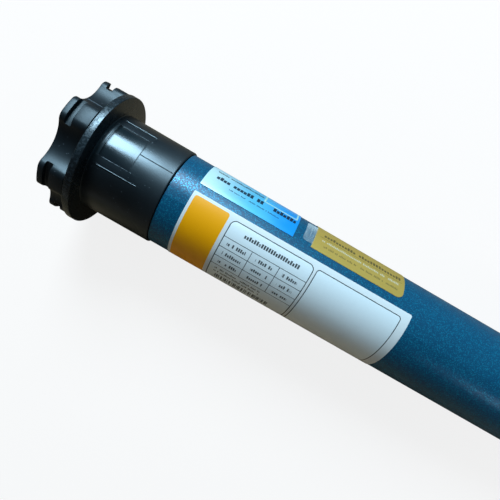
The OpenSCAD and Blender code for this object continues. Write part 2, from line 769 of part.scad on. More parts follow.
module ring_gear() color("#9a9da1") difference() {
    rod(ring_x0, ring_x1, inner_r);
    on_axis(ring_x0 - over) linear_extrude(ring_x1 - ring_x0 + 2 * over) gear_space(ring_teeth, gear_module);
}

// Sun gear of a stage, from x on
module sun_wheel(stage, x0, x1) on_axis(x0)
    rotate([0, 0, sun_phase(sun_teeth[stage], planet_teeth[stage])])
        linear_extrude(x1 - x0) gear(sun_teeth[stage], gear_module);

module sun_gear() color("#b8bbbf") difference() {
    sun_wheel(0, planet_x0[0], planet_x0[0] + planet_w[0]);
    rod(ring_x0, carrier_disc_x0[0], shaft_tip_d / 2 + seat_fit);
}

module planet_gear(stage, index) color("#d8d3c2")
    let (angle = index * planet_angle)
    at_angle(angle) translate([0, 0, stage_offset[stage]]) difference() {
        on_axis(planet_x0[stage])
            rotate([0, 0, wheel_phase(angle, planet_teeth[stage], ring_teeth) - angle])
                linear_extrude(planet_w[stage]) gear(planet_teeth[stage], gear_module);
        rod(planet_x0[stage] - over, carrier_disc_x0[stage], planet_pin_d[stage] / 2 + running_fit);
    }

module pin_ring(stage) for (i = [0 : 2])
    at_angle(i * planet_angle) translate([0, 0, stage_offset[stage]]) children();

module planet_pins(stage) color("#c8cbce") pin_ring(stage)
    rod(planet_x0[stage], carrier_disc_x0[stage] + carrier_t[stage], planet_pin_d[stage] / 2);

module planet_carrier(stage) color("#a6a9ad") difference() {
    union() {
        rod(carrier_disc_x0[stage], carrier_disc_x0[stage] + carrier_t[stage], carrier_r);
        if (stage < 2)
            sun_wheel(stage + 1, carrier_disc_x0[stage] + carrier_t[stage] / 2,
                planet_x0[stage + 1] + planet_w[stage + 1]);
    }
    pin_ring(stage) rod(carrier_disc_x0[stage] - over, carrier_disc_x0[stage] + carrier_t[stage] + over,
        planet_pin_d[stage] / 2 + seat_fit);
    if (stage == 2)
        rod(carrier_disc_x0[2] - over, carrier_disc_x0[2] + carrier_t[2] + over, output_d / 2 + seat_fit);
}

// Output

module output_cover() color("#2a2c2f") difference() {
    union() {
        rod(ring_x1, tube_x1, inner_r);
        edged_rod(tube_x1, drive_x0, tube_r, edge, edge);
    }
    rod(ring_x1 - over, drive_x0 + over, bush_d / 2 + seat_fit);
    rivet_holes(output_rivet_x, output_rivet_angles, output_rivet_r0);
}

module output_bush() color("#b08d4a") ring(ring_x1, drive_x0, output_d / 2 + running_fit, bush_d / 2);

module output_shaft() color("#c2c5c8") union() {
    rod(carrier_disc_x0[2], drive_x0 + face_gap, output_d / 2);
    difference() {
        edged_rod(drive_x0, drive_x1, drive_d / 2, edge, edge);
        translate([drive_x0 + face_gap, -drive_d, drive_d / 2 - drive_flat])
            cube([drive_len, 2 * drive_d, drive_d]);
        ring(drive_x1 - clip_edge - clip_groove_w, drive_x1 - clip_edge,
            drive_d / 2 - clip_groove_depth, drive_d);
    }
}

star_head();
end_cover();
cover_screws();
cable_socket();
socket_pins();
crown();
encoder_bracket();
encoder_axle();
encoder_pinion();
encoder_magnet();
motor_tube();
head_rivets();
output_rivets();
rating_label();
info_sticker();
seal_sticker();
board_carrier();
control_board();
relays();
terminal_block();
line_filter();
smoothing_capacitor();
run_capacitor();
capacitor_clamps();
front_shield();
rear_shield();
rotor_bearings();
stator_core();
stator_winding();
rotor_core();
rotor_rings();
rotor_shaft();
brake_housing();
brake_lining();
brake_disc();
brake_spring();
spring_collar();
gearbox_cover();
ring_gear();
sun_gear();
planet_gear(0, 0);  // planet_1a
planet_gear(0, 1);  // planet_1b
planet_gear(0, 2);  // planet_1c
planet_pins(0);  // planet_pins_1
planet_carrier(0);  // carrier_1
planet_gear(1, 0);  // planet_2a
planet_gear(1, 1);  // planet_2b
planet_gear(1, 2);  // planet_2c
planet_pins(1);  // planet_pins_2
planet_carrier(1);  // carrier_2
planet_gear(2, 0);  // planet_3a
planet_gear(2, 1);  // planet_3b
planet_gear(2, 2);  // planet_3c
planet_pins(2);  // planet_pins_3
planet_carrier(2);  // carrier_3
output_cover();
output_bush();
output_shaft();
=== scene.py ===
"""Looks of a tubular roller blind motor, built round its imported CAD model.

Sizes are in millimetres and become metres where a mesh or a lamp is written. X runs along the motor axis
from the star head to the output shaft, and Z is up. An angle about the axis is in degrees from the top,
positive towards +Y.
"""

import json
import logging
import math
from contextlib import contextmanager
from dataclasses import dataclass
from enum import Enum
from functools import lru_cache, reduce
from operator import and_, or_
from typing import Any, Callable, Dict, Iterator, List, Optional, Sequence, Tuple, Union

import bpy
import numpy as np
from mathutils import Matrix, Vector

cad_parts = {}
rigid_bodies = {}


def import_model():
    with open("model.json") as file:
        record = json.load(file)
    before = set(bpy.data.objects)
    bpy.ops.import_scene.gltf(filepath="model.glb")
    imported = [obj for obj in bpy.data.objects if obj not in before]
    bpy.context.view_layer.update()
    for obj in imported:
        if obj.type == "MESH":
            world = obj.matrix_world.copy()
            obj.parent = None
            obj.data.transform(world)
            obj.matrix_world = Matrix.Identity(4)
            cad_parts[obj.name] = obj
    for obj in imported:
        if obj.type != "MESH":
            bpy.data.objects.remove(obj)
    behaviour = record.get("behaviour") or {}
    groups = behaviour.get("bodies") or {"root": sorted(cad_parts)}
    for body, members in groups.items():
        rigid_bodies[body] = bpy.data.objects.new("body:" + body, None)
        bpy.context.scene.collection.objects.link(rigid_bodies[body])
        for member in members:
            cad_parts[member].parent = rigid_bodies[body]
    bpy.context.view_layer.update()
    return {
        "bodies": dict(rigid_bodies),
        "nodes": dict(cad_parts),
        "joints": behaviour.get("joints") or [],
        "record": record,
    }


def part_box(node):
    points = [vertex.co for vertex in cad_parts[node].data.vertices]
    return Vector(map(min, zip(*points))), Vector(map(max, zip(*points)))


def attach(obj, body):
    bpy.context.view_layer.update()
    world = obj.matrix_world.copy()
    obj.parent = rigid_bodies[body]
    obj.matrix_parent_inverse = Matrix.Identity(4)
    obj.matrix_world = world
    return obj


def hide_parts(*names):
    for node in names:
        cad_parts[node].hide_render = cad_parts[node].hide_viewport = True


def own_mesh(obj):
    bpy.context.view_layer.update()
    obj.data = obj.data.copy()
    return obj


LOG = logging.getLogger("blind_motor")
MM = 0.001
ARC_POINTS = 5
# Metres within which a point is at a place, and within which points are merged
TOUCH = 1e-6
WELD = 1e-7
# Share of a normal along a direction above which a face looks that way
FACING = 0.99
# Place of the star's end face
END_FACE = -15.5
# Moulding lines of the crown: angle, start, end and height, which is below 0 for a groove
CROWN_LINES = (
    (55.0, 2.5, 17.8, 0.11),
    (44.0, 3.8, 16.2, 0.08),
    (0.6, 4.5, 16.2, 0.05),
    (-8.5, 3.5, 22.3, 0.1),
    (22.8, 17.0, 32.7, -0.1),
)
Colour = Tuple[float, float, float, float]
Number = Union[int, float, "Value"]
Radius = Union[float, Callable[[np.ndarray], np.ndarray]]


class Body(str, Enum):
    """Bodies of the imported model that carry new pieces."""

    MOTOR = "motor_body"
    CROWN = "crown"
    ROTOR = "rotor"


class Slot(str, Enum):
    """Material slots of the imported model."""

    HEAD = "head_plastic"
    CROWN = "crown_plastic"
    SOCKET = "socket_plastic"
    ZINC = "zinc_steel"
    CONTACT = "contact_brass"
    GREY = "grey_plastic"
    NATURAL = "natural_plastic"
    STEEL = "bright_steel"
    MAGNET = "magnet"
    PAINT = "blue_paint"
    RATING = "silver_label"
    INFO = "cyan_sticker"
    SEAL = "gold_seal"
    BOARD = "circuit_board"
    RELAY = "relay_plastic"
    TERMINAL = "terminal_plastic"
    WINDING = "winding"
    SLEEVE = "sleeve_plastic"
    WHITE = "white_plastic"
    CAST = "die_cast"
    CORE = "core_steel"
    LINING = "lining"
    GEAR = "gear_steel"
    BUSH = "bush_brass"


class Element(str, Enum):
    """What edit mode selects."""

    CORNER = "VERT"
    EDGE = "EDGE"
    FACE = "FACE"


def srgb(red: int, green: int, blue: int) -> Colour:
    """Linear colour of a colour given as it is seen.

    Args:
        red: Red part, from 0 to 255.
        green: Green part.
        blue: Blue part.

    Returns:
        The linear colour, opaque.
    """
    parts = np.array([red, green, blue]) / 255
    line = np.where(parts <= 0.04045, parts / 12.92, ((parts + 0.055) / 1.055) ** 2.4)
    return (*line.tolist(), 1.0)


# Shader graphs


class Value:
    """A socket in a node tree. Arithmetic on it adds Math nodes."""

    def __init__(self, graph: "Graph", socket: bpy.types.NodeSocket) -> None:
        """Keep the socket and the graph that it belongs to."""
        self.graph = graph
        self.socket = socket

    def __add__(self, other: Number) -> "Value":
        """Sum."""
        return self.graph.math("ADD", self, other)

    __radd__ = __add__

    def __sub__(self, other: Number) -> "Value":
        """Difference."""
        return self.graph.math("SUBTRACT", self, other)

    def __rsub__(self, other: Number) -> "Value":
        """Difference from a number."""
        return self.graph.math("SUBTRACT", other, self)

    def __mul__(self, other: Number) -> "Value":
        """Product."""
        return self.graph.math("MULTIPLY", self, other)

    __rmul__ = __mul__

    def __truediv__(self, other: Number) -> "Value":
        """Quotient."""
        return self.graph.math("DIVIDE", self, other)

    def __pow__(self, other: Number) -> "Value":
        """Power."""
        return self.graph.math("POWER", self, other)

    def __abs__(self) -> "Value":
        """Size without its sign."""
        return self.graph.math("ABSOLUTE", self)

    def __or__(self, other: Number) -> "Value":
        """The larger of two."""
        return self.graph.math("MAXIMUM", self, other)

    def __and__(self, other: Number) -> "Value":
        """The smaller of two."""
        return self.graph.math("MINIMUM", self, other)

    def floor(self) -> "Value":
        """The whole number below."""
        return self.graph.math("FLOOR", self)

    def part(self) -> "Value":
        """What is left above the whole number below."""
        return self.graph.math("FRACT", self)

    def rise(self, low: float, high: float) -> "Value":
        """Smooth step that is 0 at low and 1 at high."""
        settings = {"interpolation_type": "SMOOTHSTEP"}
        return self.graph.node("ShaderNodeMapRange", settings, {0: self, 1: low, 2: high})

    def within(self, low: float, high: float, soft: float = 0.1) -> "Value":
        """1 between two limits and 0 outside them, with soft edges."""
        return self.rise(low - soft, low + soft) * self.rise(high + soft, high - soft)

    def output(self, name: str) -> "Value":
        """Another output of the same node."""
        return Value(self.graph, self.socket.node.outputs[name])


@dataclass(frozen=True)
class Panel:
    """A rectangle with round corners on a wrapped label, along the axis and round the tube."""

    left: float
    right: float
    low: float
    high: float
    corner: float = 0.01


@dataclass(frozen=True)
class SmallPrint:
    """Rows of small plain blocks in a panel of a label.

    Attributes:
        panel: Area of the rows.
        pitch: Distance from row to row.
        height: Height of the tallest blocks.
        seed: Number that makes the rows differ from other rows.
        width: Share of its seat that a block fills.
    """

    panel: Panel
    pitch: float
    height: float
    seed: float
    width: float = 0.72


class Graph:
    """A node tree that is filled from Python expressions."""

    def __init__(self, tree: bpy.types.NodeTree) -> None:
        """Empty the tree."""
        self.tree = tree
        tree.nodes.clear()

    def node(
        self,
        kind: str,
        settings: Optional[Dict[str, Any]] = None,
        inputs: Optional[Dict[Union[int, str], Any]] = None,
        output: Union[int, str] = 0,
    ) -> Value:
        """Add a node.

        Args:
            kind: Type of the node.
            settings: Settings of the node itself, set first.
            inputs: Number, colour or link for each socket that is named or numbered.
            output: Output that the result stands for.

        Returns:
            That output.
        """
        made = self.tree.nodes.new(kind)
        for key, setting in (settings or {}).items():
            setattr(made, key, setting)
        for key, value in (inputs or {}).items():
            if isinstance(value, Value):
                self.tree.links.new(value.socket, made.inputs[key])
            else:
                made.inputs[key].default_value = value
        return Value(self, made.outputs[output])

    def close(self, kind: str, shader: Value) -> None:
        """Put a shader on the tree's output node."""
        end = self.tree.nodes.new(kind)
        self.tree.links.new(shader.socket, end.inputs["Surface"])

    def math(self, operation: str, *values: Number) -> Value:
        """Add a Math node."""
        return self.node("ShaderNodeMath", {"operation": operation}, dict(enumerate(values)))

    def blend(self, factor: Number, first: Any, second: Any) -> Value:
        """Mix of two colours: the first where the factor is 0, the second where it is 1."""
        return self.node("ShaderNodeMix", {"data_type": "RGBA"}, {0: factor, 6: first, 7: second}, 2)

    def vector(self, x: Number, y: Number, z: Number) -> Value:
        """Vector of three numbers."""
        return self.node("ShaderNodeCombineXYZ", None, {0: x, 1: y, 2: z})

    def noise(self, point: Value, scale: float, detail: float = 2.0) -> Value:
        """Cloudy noise from 0 to 1 at a point."""
        return self.node("ShaderNodeTexNoise", None, {"Vector": point, "Scale": scale, "Detail": detail})

    def cells(self, point: Value, scale: float, output: str) -> Value:
        """Cells of random points: their distance or their colour."""
        return self.node("ShaderNodeTexVoronoi", None, {"Vector": point, "Scale": scale}, output)


class Surface(Graph):
    """Node tree of a material, with the place on the part in millimetres and degrees."""

    def __init__(self, material: bpy.types.Material) -> None:
        """Start from Object coordinates.

        Args:
            material: The material, with its nodes in use.
        """
        super().__init__(material.node_tree)
        place = self.node("ShaderNodeTexCoord", output="Object")
        self.point = self.node("ShaderNodeVectorMath", {"operation": "SCALE"}, {0: place, "Scale": 1 / MM})
        self.x = self.node("ShaderNodeSeparateXYZ", None, {0: self.point})
        self.y = self.x.output("Y")
        self.z = self.x.output("Z")
        self.angle = self.math("ARCTAN2", self.y, self.z) * math.degrees(1)

    def bump(self, height: Value) -> Value:
        """Normal of a relief whose height is in millimetres."""
        return self.node("ShaderNodeBump", None, {"Height": height, "Distance": MM})

    def shade(self, sockets: Dict[str, Any]) -> None:
        """Add the surface shader with these sockets and put it on the output."""
        self.close("ShaderNodeOutputMaterial", self.node("ShaderNodeBsdfPrincipled", None, sockets))

    def reach(self, panel: Panel, along: Value, round_: Value) -> Value:
        """Distance from a panel's outline, below 0 inside.

        Args:
            panel: The panel.
            along: Place along the axis.
            round_: Place round the tube.

        Returns:
            The distance in millimetres.
        """
        half_u = (panel.right - panel.left) / 2 - panel.corner
        half_v = (panel.high - panel.low) / 2 - panel.corner
        u = abs(along - (panel.left + panel.right) / 2) - half_u
        v = abs(round_ - (panel.low + panel.high) / 2) - half_v
        outside = ((u | 0) ** 2 + (v | 0) ** 2) ** 0.5
        return outside + ((u | v) & 0) - panel.corner

    def nearest(self, place: Value, lines: Sequence[float]) -> Value:
        """Distance from the nearest of some lines."""
        return reduce(and_, (abs(place - line) for line in lines))

    def marks(self, print_: SmallPrint, along: Value, round_: Value) -> Value:
        """Rows of plain blocks in a panel.

        Args:
            print_: Sizes of the rows.
            along: Place along the axis.
            round_: Place round the tube.

        Returns:
            1 on a block, 0 beside it.
        """
        panel = print_.panel
        row = (round_ - panel.low) / print_.pitch
        place = along / (0.62 * print_.height)
        seat = self.vector(place.floor(), row.floor(), print_.seed)
        chance = self.node("ShaderNodeTexWhiteNoise", None, {"Vector": seat})
        share = print_.height / print_.pitch / 2
        tall = 0.72 + 0.28 * chance.rise(0.6, 0.62)
        stroke = row.part().rise(0.5 - share * 1.1, 0.5 - share * 0.9)
        stroke = stroke * ((row.part() - 0.5 + share) / (2 * share) - tall).rise(0.06, -0.06)
        area = along.within(panel.left, panel.right, 0.1) * round_.within(panel.low, panel.high, 0.1)
        block = abs(place.part() - 0.5).rise(print_.width / 2 + 0.05, print_.width / 2 - 0.05)
        return stroke * block * chance.rise(0.13, 0.15) * area


# Finishes


@dataclass(frozen=True)
class Finish:
    """A named finish that fills a material."""

    name: str

    def paint(self, g: Surface) -> None:
        """Fill the node tree."""
        raise NotImplementedError


@lru_cache(maxsize=None)
def material(finish: Finish) -> bpy.types.Material:
    """The material of a finish, made once.

    Args:
        finish: The finish.

    Returns:
        Its material.
    """
    made = bpy.data.materials.new(finish.name)
    made.use_nodes = True
    finish.paint(Surface(made))
    return made


@dataclass(frozen=True)
class MouldedPlastic(Finish):
    """Moulded plastic: fine mould texture, faint flow clouds and scuffs.

    Attributes:
        colour: Colour of the plastic.
        light: Colour in pale clouds and scuffs.
        rough: Mean roughness.
        grain: Size of the mould's texture.
        relief: Height of the mould's texture.
    """

    colour: Colour
    light: Colour
    rough: float = 0.4
    grain: float = 0.25
    relief: float = 0.006

    def scuffs(self, g: Surface) -> Value:
        """Fine scuff lines along the axis."""
        lines = g.noise(g.vector(g.x * 0.25, g.y * 5, g.z * 5), 1.0, 3.0)
        return lines.rise(0.66, 0.8) * g.noise(g.point, 0.08, 2.0).rise(0.45, 0.7)

    def dust(self, g: Surface) -> Value:
        """Sparse pale specks."""
        specks = g.cells(g.point, 0.5, "Distance").rise(0.13, 0.06)
        return specks * g.noise(g.point, 0.16, 2.0).rise(0.42, 0.6)

    def texture(self, g: Surface) -> Tuple[Value, Value, Value]:
        """Flow clouds, mould grain and scuffs."""
        return g.noise(g.point, 0.11, 3.0), g.noise(g.point, 1 / self.grain, 2.0), self.scuffs(g)

    def paint(self, g: Surface) -> None:
        """Clouds in the colour, grain in the relief, scuffs in both.

        Args:
            g: Node tree of the material.
        """
        cloud, grain, scuff = self.texture(g)
        g.shade({
            "Base Color": g.blend(cloud * 0.4 + scuff * 0.5, self.colour, self.light),
            "Roughness": self.rough + (cloud - 0.5) * 0.16 + (grain - 0.5) * 0.1 + scuff * 0.1,
            "Normal": g.bump(grain * self.relief),
        })


@dataclass(frozen=True)
class StarPlastic(MouldedPlastic):
    """Plastic of the star: a thin moulding line runs along one valley.

    Attributes:
        sheen: Tint of the gloss.
        dust_and_glint: Colour of dust, and of the painted glint on the moulding line.
        seam_angle: Angle of the moulding line.
        seam: Places along the axis between which it runs.
        seam_radius: Distance from the axis above which it shows.
    """

    sheen: Colour = (0.7, 0.89, 1.0, 1.0)
    dust_and_glint: Colour = srgb(120, 130, 140)
    seam_angle: float = 48.3
    seam: Tuple[float, float] = (-15.0, -7.8)
    seam_radius: float = 24.0

    def paint(self, g: Surface) -> None:
        """The seam is a low ridge with a polished crest, and a painted glint makes it lighter in colour.

        Args:
            g: Node tree of the material.
        """
        cloud, grain, scuff = self.texture(g)
        off = abs(g.angle - self.seam_angle) * 0.42
        far = (g.y * g.y + g.z * g.z) ** 0.5
        start, end = self.seam
        seam = off.rise(0.3, 0.06) * far.rise(self.seam_radius, self.seam_radius + 0.5)
        seam = seam * g.x.rise(start, start + 0.4) * g.x.rise(end + 1.0, end - 1.0)
        tone = g.blend(cloud * 0.4 + scuff * 0.5, self.colour, self.light)
        g.shade({
            # Painted glint: the seam is lighter in colour; the pale specks are real dust.
            "Base Color": g.blend(seam * 0.75 | (self.dust(g) * 0.4), tone, self.dust_and_glint),
            "Roughness": self.rough + (cloud - 0.5) * 0.16 + (grain - 0.5) * 0.1 - seam * 0.12,
            "Normal": g.bump(grain * self.relief + seam * 0.05),
            "Specular Tint": self.sheen,
        })


@dataclass(frozen=True)
class CrownPlastic(MouldedPlastic):
    """Plastic of the crown: a polished pad next to the flange, satin beyond it.

    Attributes:
        sheen: Tint of the gloss.
        dust_and_glint: Colour of dust, and of the painted glint on the moulding lines.
        gloss: Roughness of the pad at the flange.
        pad: The pad, along the axis and in degrees round it.
        glint_lines: Angle, start, end and height of each moulding line that gets a painted glint.
    """

    sheen: Colour = (0.7, 0.89, 1.0, 1.0)
    dust_and_glint: Colour = srgb(120, 132, 142)
    gloss: float = 0.17
    pad: Panel = Panel(2.6, 16.8, 1.0, 43.6)
    glint_lines: Tuple[Tuple[float, float, float, float], ...] = CROWN_LINES[:-1]

    def paint(self, g: Surface) -> None:
        """The pad is smooth, the rest has the mould's texture, and the moulding lines get a painted glint, a
        lighter colour.

        Args:
            g: Node tree of the material.
        """
        cloud, grain, scuff = self.texture(g)
        pad = self.pad
        smooth = g.x.within(pad.left, pad.right, 0.2) * g.angle.within(pad.low, pad.high, 0.5)
        satin = 1 - smooth
        wave = g.noise(g.vector(g.x * 0.12, g.angle * 0.1, 0), 1.0, 2.0)
        # Painted glint: the moulding lines are lighter in colour, in patches along them.
        painted_glint = sum(
            (abs(g.angle - at) * 0.405).rise(0.16, 0.05) * g.x.within(start, stop, 0.5)
            for at, start, stop, _ in self.glint_lines
        )
        painted_glint = painted_glint * g.noise(g.vector(g.x * 0.5, g.angle, 5), 1.0, 2.0).rise(0.25, 0.6)
        rim = g.x.rise(0.3, -0.3)
        wear = g.noise(g.point, 0.8, 3.0).rise(0.46, 0.62) * rim
        tone = g.blend(satin * (cloud * 0.4 + scuff * 0.5) + wear * 0.6, self.colour, self.light)
        polish = smooth * (self.gloss + g.x.rise(5.0, 20.0) * 0.12)
        matt = satin * (self.rough + g.x.rise(17.0, 31.0) * 0.1 + (cloud - 0.5) * 0.1 + (grain - 0.5) * 0.08)
        g.shade({
            # Painted glint on the moulding lines, and real dust on the satin.
            "Base Color": g.blend(painted_glint * 0.8 | (satin * self.dust(g) * 0.4), tone, self.dust_and_glint),
            "Roughness": polish + matt + satin * scuff * 0.1 + wear * 0.16 - rim * 0.08,
            "Normal": g.bump(satin * grain * self.relief + smooth * wave * 0.05 - wear * 0.008),
            "Specular Tint": self.sheen,
            "Specular IOR Level": 0.8,
        })


@dataclass(frozen=True)
class FlakePaint(Finish):
    """Blue metallic paint with fine bright flakes."""

    deep: Colour
    light: Colour
    flake: float = 0.32

    def paint(self, g: Surface) -> None:
        """Each cell is a flake that lies a little differently.

        Args:
            g: Node tree of the material.
        """
        cell = g.node("ShaderNodeSeparateColor", None, {0: g.cells(g.point, 1 / self.flake, "Color")})
        bright = cell.rise(0.62, 1.0)
        cloud = g.noise(g.point, 0.045, 3.0)
        lean = g.noise(g.point, 0.8 / self.flake, 1.0)
        g.shade({
            "Base Color": g.blend(bright * 0.7 + cloud * 0.1, self.deep, self.light),
            "Metallic": 0.08 + bright * 0.34,
            "Roughness": 0.35 - bright * 0.06 + (cloud - 0.5) * 0.06,
            "Normal": g.bump(lean * 0.022),
            "Specular IOR Level": 0.38,
        })


@dataclass(frozen=True)
class WrappedPrint(Finish):
    """Print on a film round the tube."""

    arc: float = 0.3957

    def place(self, g: Surface) -> Tuple[Value, Value]:
        """Place along the axis and round the film's face, where arc is the length of one degree."""
        return g.x, g.angle * self.arc


@dataclass(frozen=True)
class RatingPrint(WrappedPrint):
    """Print of the rating label: orange block, table frame and an empty frame on silver film."""

    table: Panel = Panel(64.3, 104.6, -35.6, 5.15, 2.6)
    empty: Panel = Panel(106.2, 148.0, -35.6, 4.75, 1.4)
    block: Panel = Panel(45.4, 62.3, -45.0, 6.5, 1.3)
    rules: Tuple[float, ...] = (-2.8, -7.5, -12.3, -17.0)
    posts: Tuple[float, ...] = (78.2, 91.6)
    heading: SmallPrint = SmallPrint(Panel(72.0, 99.0, -0.6, 3.2), 3.8, 1.9, 3.0)
    columns: Tuple[SmallPrint, ...] = (
        SmallPrint(Panel(67.0, 76.0, -17.0, -2.8), 4.74, 1.6, 11.0),
        SmallPrint(Panel(81.0, 89.0, -17.0, -2.8), 4.74, 1.6, 17.0),
        SmallPrint(Panel(94.0, 101.5, -17.0, -2.8), 4.74, 1.6, 23.0),
    )
    notes: SmallPrint = SmallPrint(Panel(67.0, 90.0, -22.4, -18.0), 2.2, 1.1, 31.0)
    bars: Panel = Panel(68.0, 96.0, -27.5, -23.5)
    border: Colour = srgb(226, 230, 231)
    silver: Colour = srgb(240, 250, 254)
    fibre: Colour = srgb(170, 180, 186)
    orange: Tuple[Colour, Colour] = (srgb(255, 172, 0), srgb(246, 156, 0))
    ink: Colour = srgb(28, 34, 42)

    def paint(self, g: Surface) -> None:
        """Layers from the white border to the dark lines.

        Args:
            g: Node tree of the material.
        """
        u, v = self.place(g)
        table = g.reach(self.table, u, v)
        empty = g.reach(self.empty, u, v)
        block = g.reach(self.block, u, v).rise(0.08, -0.08)
        inside = (table & empty).rise(0.1, -0.1)
        fibre = g.noise(g.point, 0.6, 3.0)
        in_table = table.rise(0.05, -0.05)
        rules = g.nearest(v, self.rules).rise(0.2, 0.08)
        posts = g.nearest(u, self.posts).rise(0.2, 0.08) * v.within(self.rules[-1], self.rules[0], 0.05)
        edge = (abs(table) & abs(empty)).rise(0.28, 0.12)
        lines = edge | (in_table * (rules | posts))
        heading = g.marks(self.heading, u, v)
        cells = reduce(or_, (g.marks(column, u, v) for column in self.columns))
        notes = g.marks(self.notes, u, v)
        bars = g.noise(g.vector(u * 1.4, 0, 0), 1.0, 1.0).rise(0.46, 0.52)
        bars = bars * u.within(self.bars.left, self.bars.right, 0.1)
        bars = bars * v.within(self.bars.low, self.bars.high, 0.15)
        ink = (lines | heading * 0.95 | cells * 0.92 | notes * 0.85 | bars * 0.9) & 1
        film = g.blend(inside, self.border, self.silver)
        film = g.blend(fibre * 0.08, film, self.fibre)
        film = g.blend(block, film, g.blend(fibre * 0.3, *self.orange))
        g.shade({
            "Base Color": g.blend(ink, film, self.ink),
            "Metallic": inside * (1 - ink) * 0.15,
            "Roughness": 0.42 - inside * 0.06 + ink * 0.1 + (fibre - 0.5) * 0.1,
            "Normal": g.bump(fibre * 0.006 + ink * 0.01),
            "Specular IOR Level": 0.3,
        })


@dataclass(frozen=True)
class InfoPrint(WrappedPrint):
    """Print of the information sticker: pale cyan that turns blue, with rows of small marks."""

    small: SmallPrint = SmallPrint(Panel(47.5, 71.0, 24.8, 27.2), 2.4, 1.5, 5.0, 0.86)
    bold: SmallPrint = SmallPrint(Panel(48.6, 88.4, 18.8, 22.6), 3.8, 2.7, 9.0, 0.84)
    low: SmallPrint = SmallPrint(Panel(56.0, 81.0, 16.0, 18.0), 2.0, 0.9, 15.0)
    frame: Panel = Panel(72.0, 88.4, 22.8, 33.6, 0.3)
    cyan: Tuple[Colour, Colour] = (srgb(206, 238, 244), srgb(92, 196, 234))
    blue: Colour = srgb(16, 156, 238)
    dull: Colour = srgb(150, 185, 214)
    ink: Colour = srgb(20, 32, 52)
    mint: Colour = srgb(205, 245, 225)

    def paint(self, g: Surface) -> None:
        """Colour runs along the axis, marks and a pale frame lie on it.

        Args:
            g: Node tree of the material.
        """
        u, v = self.place(g)
        cloud = g.noise(g.vector(u * 0.06, v * 0.12, 2), 1.0, 2.0)
        sway = u + (cloud - 0.5) * 6
        ground = g.blend(sway.rise(44.0, 70.0), *self.cyan)
        ground = g.blend(sway.rise(66.0, 88.0), ground, self.blue)
        ground = g.blend(v.rise(25.0, 34.0) * 0.5, ground, self.dull)
        small, bold, low = (g.marks(rows, u, v) for rows in (self.small, self.bold, self.low))
        frame = abs(g.reach(self.frame, u, v)).rise(0.5, 0.25)
        inked = g.blend((small * 0.85 | bold * 0.95 | low * 0.7) & 1, ground, self.ink)
        fine = g.noise(g.point, 0.8, 2.0)
        g.shade({
            "Base Color": g.blend(frame * 0.75, inked, self.mint),
            "Metallic": 0.15 + cloud * 0.2,
            "Roughness": 0.32 + (fine - 0.5) * 0.12,
            "Normal": g.bump(fine * 0.006),
        })


@dataclass(frozen=True)
class SealPrint(WrappedPrint):
    """Print of the gold seal: one dark rule and rows of marks, some of them pale."""

    rule: float = 20.9
    rule_span: Tuple[float, float] = (101.0, 143.5)
    high: SmallPrint = SmallPrint(Panel(101.0, 143.0, 21.2, 25.4), 4.2, 2.4, 7.0)
    pale: SmallPrint = SmallPrint(Panel(102.0, 142.0, 17.6, 20.4), 2.8, 1.3, 13.0)
    low: SmallPrint = SmallPrint(Panel(104.0, 142.0, 14.4, 17.2), 2.8, 1.1, 19.0)
    gold: Tuple[Colour, Colour] = (srgb(206, 173, 86), srgb(190, 150, 60))
    pale_ink: Colour = srgb(236, 232, 208)
    dark_ink: Colour = srgb(44, 48, 40)

    def paint(self, g: Surface) -> None:
        """Gold film with pale and dark marks.

        Args:
            g: Node tree of the material.
        """
        u, v = self.place(g)
        cloud = g.noise(g.point, 0.12, 3.0)
        fine = g.noise(g.point, 1.6, 2.0)
        gold = g.blend(cloud * 0.6, *self.gold)
        rule = abs(v - self.rule).rise(0.2, 0.08) * u.within(*self.rule_span, 0.2)
        high, pale, low = (g.marks(rows, u, v) for rows in (self.high, self.pale, self.low))
        marked = g.blend(pale * 0.6, gold, self.pale_ink)
        marked = g.blend((rule * 0.6 | high * 0.75 | low * 0.5) & 1, marked, self.dark_ink)
        g.shade({
            "Base Color": marked,
            "Metallic": 0.35 - cloud * 0.1,
            "Roughness": 0.36 + (fine - 0.5) * 0.16,
            "Normal": g.bump(fine * 0.008),
        })


@dataclass(frozen=True)
class ClearFilm(Finish):
    """Clear tab of the seal: thin film with pressed streaks, and a painted highlight at its high end."""

    tint: Tuple[Colour, Colour] = (srgb(170, 190, 198), srgb(232, 240, 244))

    def paint(self, g: Surface) -> None:
        """Streaks round the tube make it milky, and a painted highlight makes its high end whiter and less
        clear.

        Args:
            g: Node tree of the material.
        """
        streak = g.noise(g.vector(g.x * 1.6, g.angle * 0.05, 4), 1.0, 3.0)
        # Painted highlight: whiter and less clear towards the high end round the tube; the streaks are real.
        milky_and_highlight = streak.rise(0.4, 0.75) * 0.35 + g.angle.rise(50.0, 68.0) * 0.5
        g.shade({
            "Base Color": g.blend(milky_and_highlight, *self.tint),
            "Roughness": 0.12 + milky_and_highlight * 0.15,
            "Alpha": 0.16 + milky_and_highlight * 0.6,
            "Normal": g.bump(streak * 0.02),
        })


@dataclass(frozen=True)
class CutMetal(Finish):
    """Turned, drawn or ground metal: fine tool lines round the axis and faint stains."""

    colour: Colour
    stain: Colour
    rough: float = 0.28
    lines: float = 7.0

    def paint(self, g: Surface) -> None:
        """Lines in the roughness and relief, stains in the colour.

        Args:
            g: Node tree of the material.
        """
        line = g.noise(g.vector(g.x * self.lines, g.y * 0.25, g.z * 0.25), 1.0, 3.0)
        stain = g.noise(g.point, 0.16, 4.0).rise(0.42, 0.78)
        g.shade({
            "Base Color": g.blend(stain * 0.45 + line * 0.1, self.colour, self.stain),
            "Metallic": 1.0,
            "Roughness": self.rough + (line - 0.5) * 0.2 + stain * 0.1,
            "Normal": g.bump(line * 0.004),
        })


